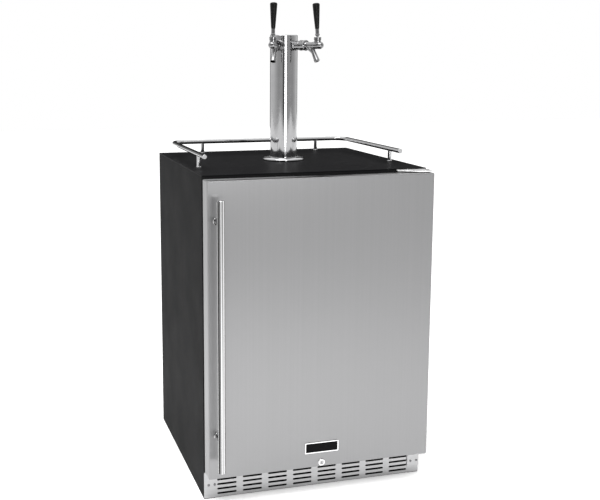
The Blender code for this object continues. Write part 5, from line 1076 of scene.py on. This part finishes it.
def make_gas_kit():
    """Gas cylinder with its valve and handwheel, the regulator with two gauges, and the lines."""
    x, y, _ = centre("co2_cylinder")
    dome = [(CYLINDER_RADIUS * cos(radians(step * 7)), SHOULDER + SHOULDER_HIGH * sin(radians(step * 7)))
            for step in range(1, 11)]
    cylinder = turn("gas_cylinder", [
        *mm((0, 4), (30, 4), (38, 0.6), (44, 0), (48.5, 1.2), (52, 4.4)), (CYLINDER_RADIUS, 0.010),
        (CYLINDER_RADIUS, SHOULDER), *dome,
        *mm((15.8, 299.8), (15, 301.6), (15, 309.2), (14.2, 310), (0, 310))], sides=96)
    fit(put(cylinder, (x, y, span("co2_cylinder")[0].z)), "aluminium", "cabinet", "co2_cylinder")

    base = span("co2_valve")[0].z
    outlet = base + OUTLET_HEIGHT
    valve = turn("gas_valve", mm((0, 0), (10.8, 0), (12, 1.2), (12, 10), (9.8, 11.5), (9.8, 29), (12, 30.5),
                                 (12, 38.8), (10.8, 40), (4, 40), (4, 48), (0, 48)))
    put(valve, (x, y, base))
    join(valve, rod("outlet", (x, y, outlet), (x - 0.026, y, outlet), 0.008, 0.0008),
         rod("flats", (x, y, base + 0.003), (x, y, base + 0.0095), 0.0128, 0.0005, sides=6))
    fit(valve, "brass", "cabinet", "co2_valve")

    wheel = turn("gas_wheel_rim", mm((4.3, 10), (6, 10), (8, 7.8), (12.5, 7.8), (15, 9.6), (17.5, 10),
                                     (19.3, 9.2), (20, 7.5), (20, 2.5), (19.3, 0.8), (17.5, 0), (4.3, 0)),
                 ring=True)
    scallop = rod("scallop", (0.021, 0, -OVERRUN), (0.021, 0, 0.012), 0.0045, sides=32)
    cut(wheel, repeat(scallop, around(8, first=22.5)))
    put(round_edges(wheel, 0.0005, 2, 50), (x, y, span("co2_handwheel")[0].z))
    fit(wheel, "machine_black", "gas_wheel", "co2_handwheel")
    make_regulator(x - REGULATOR_AWAY, y, outlet, x - REGULATOR_NUT)
    make_lines(y)


def make_regulator(x, y, z, nut_end):
    """Regulator body, its two gauges, its adjusting knob and the coupling nut on the cylinder's valve."""
    body = turn("regulator_case", mm((0, -15), (18, -15), (20, -13), (20, 12.5), (18.5, 15), (13.5, 15.5),
                                     (13, 17), (13, 32.2), (12.2, 33), (0, 33)))
    put(body, (x, y, z), AHEAD)
    ridges = [(radius, rise + step * 2.6) for step in range(5) for radius, rise in ((3.2, 28), (2.6, 30.4))]
    barb = turn("barb", mm((0, 12), (4, 12), (4, 22.5), (5, 23), (5, 26.2), (3.2, 26.8), *ridges, (2.4, 42),
                           (0, 42)), sides=32)
    join(body, rod("inlet", (x, y, z), (nut_end, y, z), 0.0045, sides=32),
         rod("nut", (nut_end - 0.013, y, z), (nut_end, y, z), 0.013, 0.0008, sides=6),
         put(barb, (x, y, z), DOWN))
    for _, across, up, _ in GAUGES:
        join(body, rod("neck", (x, y, z), (x + across * 0.6, y, z + up * 0.6), 0.0045, sides=32))
    fit(body, "brass", "cabinet", "regulator_body")
    for name, across, up, needle_turn in GAUGES:
        make_gauge(name, (x + across, y + GAUGE_THICK / 2, z + up), needle_turn)

    low, high = span("regulator_knob")
    long = high.y - low.y
    knob = turn("pressure_knob_cap", [
        (0, 0), (0.0108, 0), (0.011, 0.0004), (0.0106, long - 0.001), (0.0096, long), (0.0060, long),
        (0.0050, long - 0.0006), (0, long - 0.0006)])
    flute = rod("flute", (0.0112, 0, -OVERRUN), (0.0112, 0, long + OVERRUN), 0.0014, sides=16)
    cut(knob, repeat(flute, around(12)))
    fit(put(knob, (x, high.y, z), AHEAD), "machine_black", "pressure_knob", "regulator_knob")


def make_gauge(name, back, needle_turn):
    """A round gauge: bright case, white dial with a ring of marks, needle and glass."""
    case = turn(name + "_case", [
        *mm((0, 0), (18.5, 0), (20, 1), (20, 10.5)), (GAUGE_RADIUS, 0.011), (GAUGE_RADIUS, 0.0132),
        (0.0202, GAUGE_THICK), (0.0190, GAUGE_THICK), (0.0186, 0.0110), (0, 0.0110)])
    fit(put(case, back, AHEAD), "polished_chrome", "cabinet", "regulator_body")
    dial = turn(name + "_dial", mm((0, 11.05), (18.5, 11.05), (18.6, 11.4), (0, 11.4)))
    fit(put(dial, back, AHEAD), "button_white", "cabinet")
    rings = []
    for inner, half, steps in ((0.0120, 0.00035, 6), (0.0135, 0.0002, 30)):
        mark = block(name + "_marks", (inner, -half, 0.01135), (0.0165, half, 0.01155))
        rings.append(repeat(mark, [turned_about(DIAL_START + DIAL_SWEEP * step / steps)
                                   for step in range(steps + 1)]))
    scale = only(rings[0])
    rings[1].select_set(True)
    bpy.ops.object.join()
    fit(put(scale, back, AHEAD), "black_moulding", "cabinet")
    needle = block(name + "_needle", (-0.004, -0.0004, 0.0119), (0.0130, 0.0004, 0.0122))
    edit(needle)
    pick("FACE", lambda face: face.normal.x > 0.9)
    bpy.ops.transform.resize(value=(1, 0.2, 1))
    only(needle)
    join(needle, turn("boss", mm((0, 11.5), (1.8, 11.5), (1.8, 12.4), (1.2, 12.7), (0, 12.7)), sides=24))
    settle(needle, turned_about(needle_turn))
    fit(put(needle, back, AHEAD), "black_moulding", "cabinet")
    glass = turn(name + "_glass", mm((0, 13.1), (18.7, 13.1), (18.8, 13.5), (12, 13.7), (0, 13.8)))
    fit(put(glass, back, AHEAD), "button_white", "cabinet", finish="gauge_glass")


def make_lines(y):
    """Gas hose lying on the shelf, and the beer lines down the column to their wing nuts."""
    low, high = span("gas_hose")
    x, lying = high.x - HOSE_RADIUS, low.z + HOSE_RADIUS
    line = pipe("gas_line", [(x, y, high.z), (x, y, lying), (low.x, y, lying)], HOSE_RADIUS, HOSE_BEND,
                sides=32)
    fit(line, "gas_hose_red", "cabinet", "gas_hose")
    clamp = turn("hose_clamp", [
        (HOSE_RADIUS - GAP, 0), *mm((5.6, 0), (5.8, 0.6), (5.8, 6.2), (5.6, 6.8)),
        (HOSE_RADIUS - GAP, 0.0068)], ring=True)
    join(clamp, block("ear", (0.0050, -0.0018, 0.0008), (0.0078, 0.0018, 0.0060), edge=0.0006))
    fit(put(clamp, (x, y, high.z - 0.012)), "brushed_stainless", "cabinet")
    end = turn("hose_end", mm((0, 0), (6, 0), (7.4, 0.8), (7.4, 10), (6.6, 10.8), (4.8, 10.8), (4.8, 12.5),
                              (0, 12.5)), sides=6)
    fit(put(end, (low.x, y, lying), RIGHTWARD), "brass", "cabinet")

    for side, way, x in LINE_ENDS:
        low, high = span("beer_line_" + side)
        column_x, column_y = LINE_IN_COLUMN
        down_column = [(way * column_x, column_y, z) for z in (high.z, *COLUMN_HEIGHTS)]
        down_wall = [(x, COUPLER_Y, z) for z in WALL_HEIGHTS]
        line = hose("beer_hose_" + side, [*down_column, (x / 2, LINE_BEND_Y, LINE_BEND_Z), *down_wall],
                    HOSE_RADIUS)
        fit(line, "beer_hose", "cabinet", "beer_line_" + side)
        nut = turn("wing_nut_" + side, mm((5, 22), (6.6, 22), (7.4, 20.5), (7.8, 10), (9.8, 8.5), (10.5, 7),
                                          (10.5, 0.8), (9.8, 0), (5, 0)), ring=True)
        for inner, outer in ((-0.0165, -0.006), (0.006, 0.0165)):
            join(nut, block("wing", (inner, -0.0013, 0.0055), (outer, 0.0013, 0.0190), corner=0.003, along=1,
                            edge=0.0005))
        fit(put(nut, (x, COUPLER_Y, low.z)), "brass", "cabinet")


# Machine room

def make_machine_room():
    """Compressor, finned condenser, its fan and shroud, and the refrigerant pipes."""
    make_compressor()
    make_condenser()
    low, high = span("condenser_fan_shroud")
    x, y, z = centre("condenser_fan")
    shroud = block("fan_shroud", low, (low.x + 0.003, high.y, high.z), corner=0.008, along=0, edge=PANEL_EDGE)
    cut(shroud, rod("fan_hole", (low.x - OVERRUN, y, z), (low.x + 0.005, y, z), FAN_HOLE))
    motor_mount(shroud, (low.x + 0.002, y, z), RIGHTWARD, BEHIND, (low.x + 0.001, y, z), (high.x, y, z))
    fit(shroud, "machine_black", "cabinet", "condenser_fan_shroud")
    make_fan("warm_fan", (x, y, z), RIGHTWARD, "condenser_fan_wheel", "machine_black", "condenser_fan")

    for name, riser_x, run, end_x in (("liquid_pipe", -0.215, 0.2158, -0.210),
                                      ("suction_pipe", -0.203, 0.2278, 0.150)):
        low, high = span(name)
        top = high.z - PIPE_RADIUS
        route = [(PLATE_X, RISER_Y, top), (riser_x, RISER_Y, top), (riser_x, RISER_Y, run),
                 (riser_x, PIPE_Y, run), (end_x, PIPE_Y, run), (end_x, PIPE_Y, low.z)]
        fit(pipe(name + "_run", route, PIPE_RADIUS, PIPE_BEND), "copper_tube", "cabinet", name)


def make_compressor():
    """Compressor in its welded can, on rubber pads, with its terminal box."""
    low, high = span("compressor")
    x, y, _ = centre("compressor")
    half = (high.y - low.y) / 2
    can = block("compressor_shell", (low.x, low.y, low.z + CAN_LIFT), high, corner=half * 0.985)
    round_edges(can, 0.034, 8, 60)
    seam_z = low.z + SEAM_HEIGHT
    seam = block("seam", (low.x - 0.002, low.y - 0.002, seam_z),
                 (high.x + 0.002, high.y + 0.002, seam_z + 0.005), corner=half * 0.985)
    foot = block("foot", low, (high.x, high.y, low.z + 0.003), corner=0.010, edge=0.0005)
    join(can, round_edges(seam, 0.001), foot, rod("post", (x, y, low.z), (x, y, low.z + 0.03), half / 2))
    fit(can, "machine_black", "cabinet", "compressor")
    pad = turn("compressor_pads", mm((0, 7.5), (6, 7.5), (7.2, 6), (5.8, 4.5), (8, 3.5), (8, 3.1), (0, 3.1)),
               sides=32)
    fit(repeat(pad, moves((x + side * PAD_X, y + way * PAD_Y, low.z)
                          for side in (-1, 1) for way in (-1, 1))), "black_rubber", "cabinet")
    box = block("terminal_box", (low.x - 0.012, y - 0.022, low.z + 0.045),
                (low.x + 0.006, y + 0.022, low.z + 0.09), edge=0.002, segments=3)
    fit(box, "black_moulding", "cabinet")


def make_condenser():
    """Condenser: its fins in a sheet frame, with rows of bent tubes through them."""
    low, high = span("condenser")
    fin = block("condenser_fins", (-FIN_THICK / 2, low.y + 0.002, low.z + FRAME_BAND),
                (FIN_THICK / 2, high.y - 0.002, high.z - FRAME_BAND), corner=0.004, along=0)
    pitch = (high.x - low.x - 2 * FIN_INSET) / (FIN_COUNT - 1)
    fit(repeat(fin, moves((low.x + FIN_INSET + pitch * step, 0, 0) for step in range(FIN_COUNT))),
        "aluminium", "cabinet", "condenser")
    sheet = block("condenser_frame", low, high)
    cut(sheet, block("opening", (low.x + FRAME_SHEET, low.y - OVERRUN, low.z + FRAME_BAND),
                     (high.x - FRAME_SHEET, high.y + OVERRUN, high.z - FRAME_BAND)))
    fit(round_edges(sheet, PANEL_EDGE), "galvanised_steel", "cabinet")
    tube_start, tube_turn = low.x + 0.001, high.x - 0.0045
    tube = pipe("condenser_tubes", [(tube_start, 0, -TUBE_PITCH), (tube_turn, 0, -TUBE_PITCH),
                                    (tube_turn, 0, 0), (tube_start, 0, 0)], TUBE_RADIUS, TUBE_PITCH / 2.01,
                sides=16)
    fit(repeat(tube, moves((0, low.y + inset, low.z + TUBE_LOWEST + LAYER_PITCH * layer)
                           for inset in TUBE_ROWS for layer in range(TUBE_LAYERS))), "copper_tube", "cabinet")


# Floor, light and camera

def make_floor():
    """Pale floor under the machine."""
    only()
    bpy.ops.mesh.primitive_plane_add(size=24)
    floor = bpy.context.object
    floor.name = "studio_floor"
    material = bpy.data.materials.new("pale floor")
    material.use_nodes = True
    tree = material.node_tree
    tint = ramp(tree, placed(tree, "blotches", Scale=0.8)["Mask"], (0.84, 0.84, 0.84), (0.86, 0.86, 0.86))
    shader = tree.nodes["Principled BSDF"]
    tree.links.new(tint.outputs["Color"], shader.inputs["Base Color"])
    shader.inputs["Roughness"].default_value = 0.7
    shader.inputs["Emission Color"].default_value = WHITE
    shader.inputs["Emission Strength"].default_value = FLOOR_GLOW
    floor.data.materials.append(material)


def make_room_light():
    """Soft light from all round, which the camera sees as plain white."""
    world = bpy.data.worlds.new("studio")
    bpy.context.scene.world = world
    world.use_nodes = True
    tree = world.node_tree
    look = flow(tree, "TexCoord", gives="Generated")
    way = node(tree, "SeparateXYZ", {0: look}).outputs
    toward_flag, toward_band = [
        flow(tree, "VectorMath", {0: look, 1: Vector(side).normalized()}, "Value", operation="DOT_PRODUCT")
        for side in (FLAG_WAY, BAND_WAY)]
    walls = maths(tree, between(tree, way["Y"], *FRONT_EDGES, FRONT_LIGHT, BEHIND_LIGHT),
                  between(tree, toward_flag, *FLAG_EDGES, 1.0, FLAG_DARK))
    band = ramp(tree, between(tree, toward_band, -BAND_HALF, BAND_HALF), WHITE[:3], WHITE[:3])
    for place in BAND_EDGES:
        band.color_ramp.elements.new(place).color = (BAND_DARK, BAND_DARK, BAND_DARK, 1)
    dark = flow(tree, "MixRGB", {"Fac": between(tree, way["Y"], *BAND_AHEAD), "Color1": band.outputs["Color"],
                                 "Color2": WHITE})
    above = between(tree, way["Z"], *TOP_EDGES, 0.0, TOP_LIGHT)
    total = maths(tree, maths(tree, walls, dark), above, "ADD")
    strength = between(tree, flow(tree, "LightPath", gives="Is Camera Ray"), 0.0, 1.0, total, 1.0)
    tree.links.new(strength, tree.nodes["Background"].inputs["Strength"])
    tree.nodes["Background"].inputs["Color"].default_value = WHITE


def make_lamps():
    """Soft boxes, each turned to what it lights."""
    for name, place, aim, wide, high, power in LIGHTS:
        bpy.ops.object.light_add(type="AREA", location=place)
        lamp = bpy.context.object
        lamp.name = lamp.data.name = name
        lamp.rotation_euler = (Vector(place) - Vector(aim)).to_track_quat("Z", "Y").to_euler()
        lamp.data.shape, lamp.data.size, lamp.data.size_y, lamp.data.energy = "RECTANGLE", wide, high, power
        lamp.data.spread = radians(SPREAD)


def make_camera():
    """The photograph's view."""
    bpy.ops.object.camera_add(location=EYE, rotation=(radians(90 + EYE_TILT), 0, radians(-EYE_TURN)))
    camera = bpy.context.object
    camera.name = "photo_camera"
    camera.data.sensor_width = SENSOR
    camera.data.lens = PHOTO_FOCAL * SENSOR / PHOTO_WIDE
    camera.data.shift_x = (PHOTO_WIDE / 2 - PHOTO_CENTRE[0]) / PHOTO_WIDE
    camera.data.shift_y = (PHOTO_CENTRE[1] - PHOTO_HIGH / 2) / PHOTO_WIDE
    bpy.context.scene.camera = camera
    bpy.context.scene.view_settings.view_transform = "Standard"


finishes = {}
make_effects()
make_finishes()
make_case()
make_door()
make_rail()
make_tower()
make_cold_space()
make_gas_kit()
make_machine_room()
make_floor()
make_room_light()
make_lamps()
make_camera()
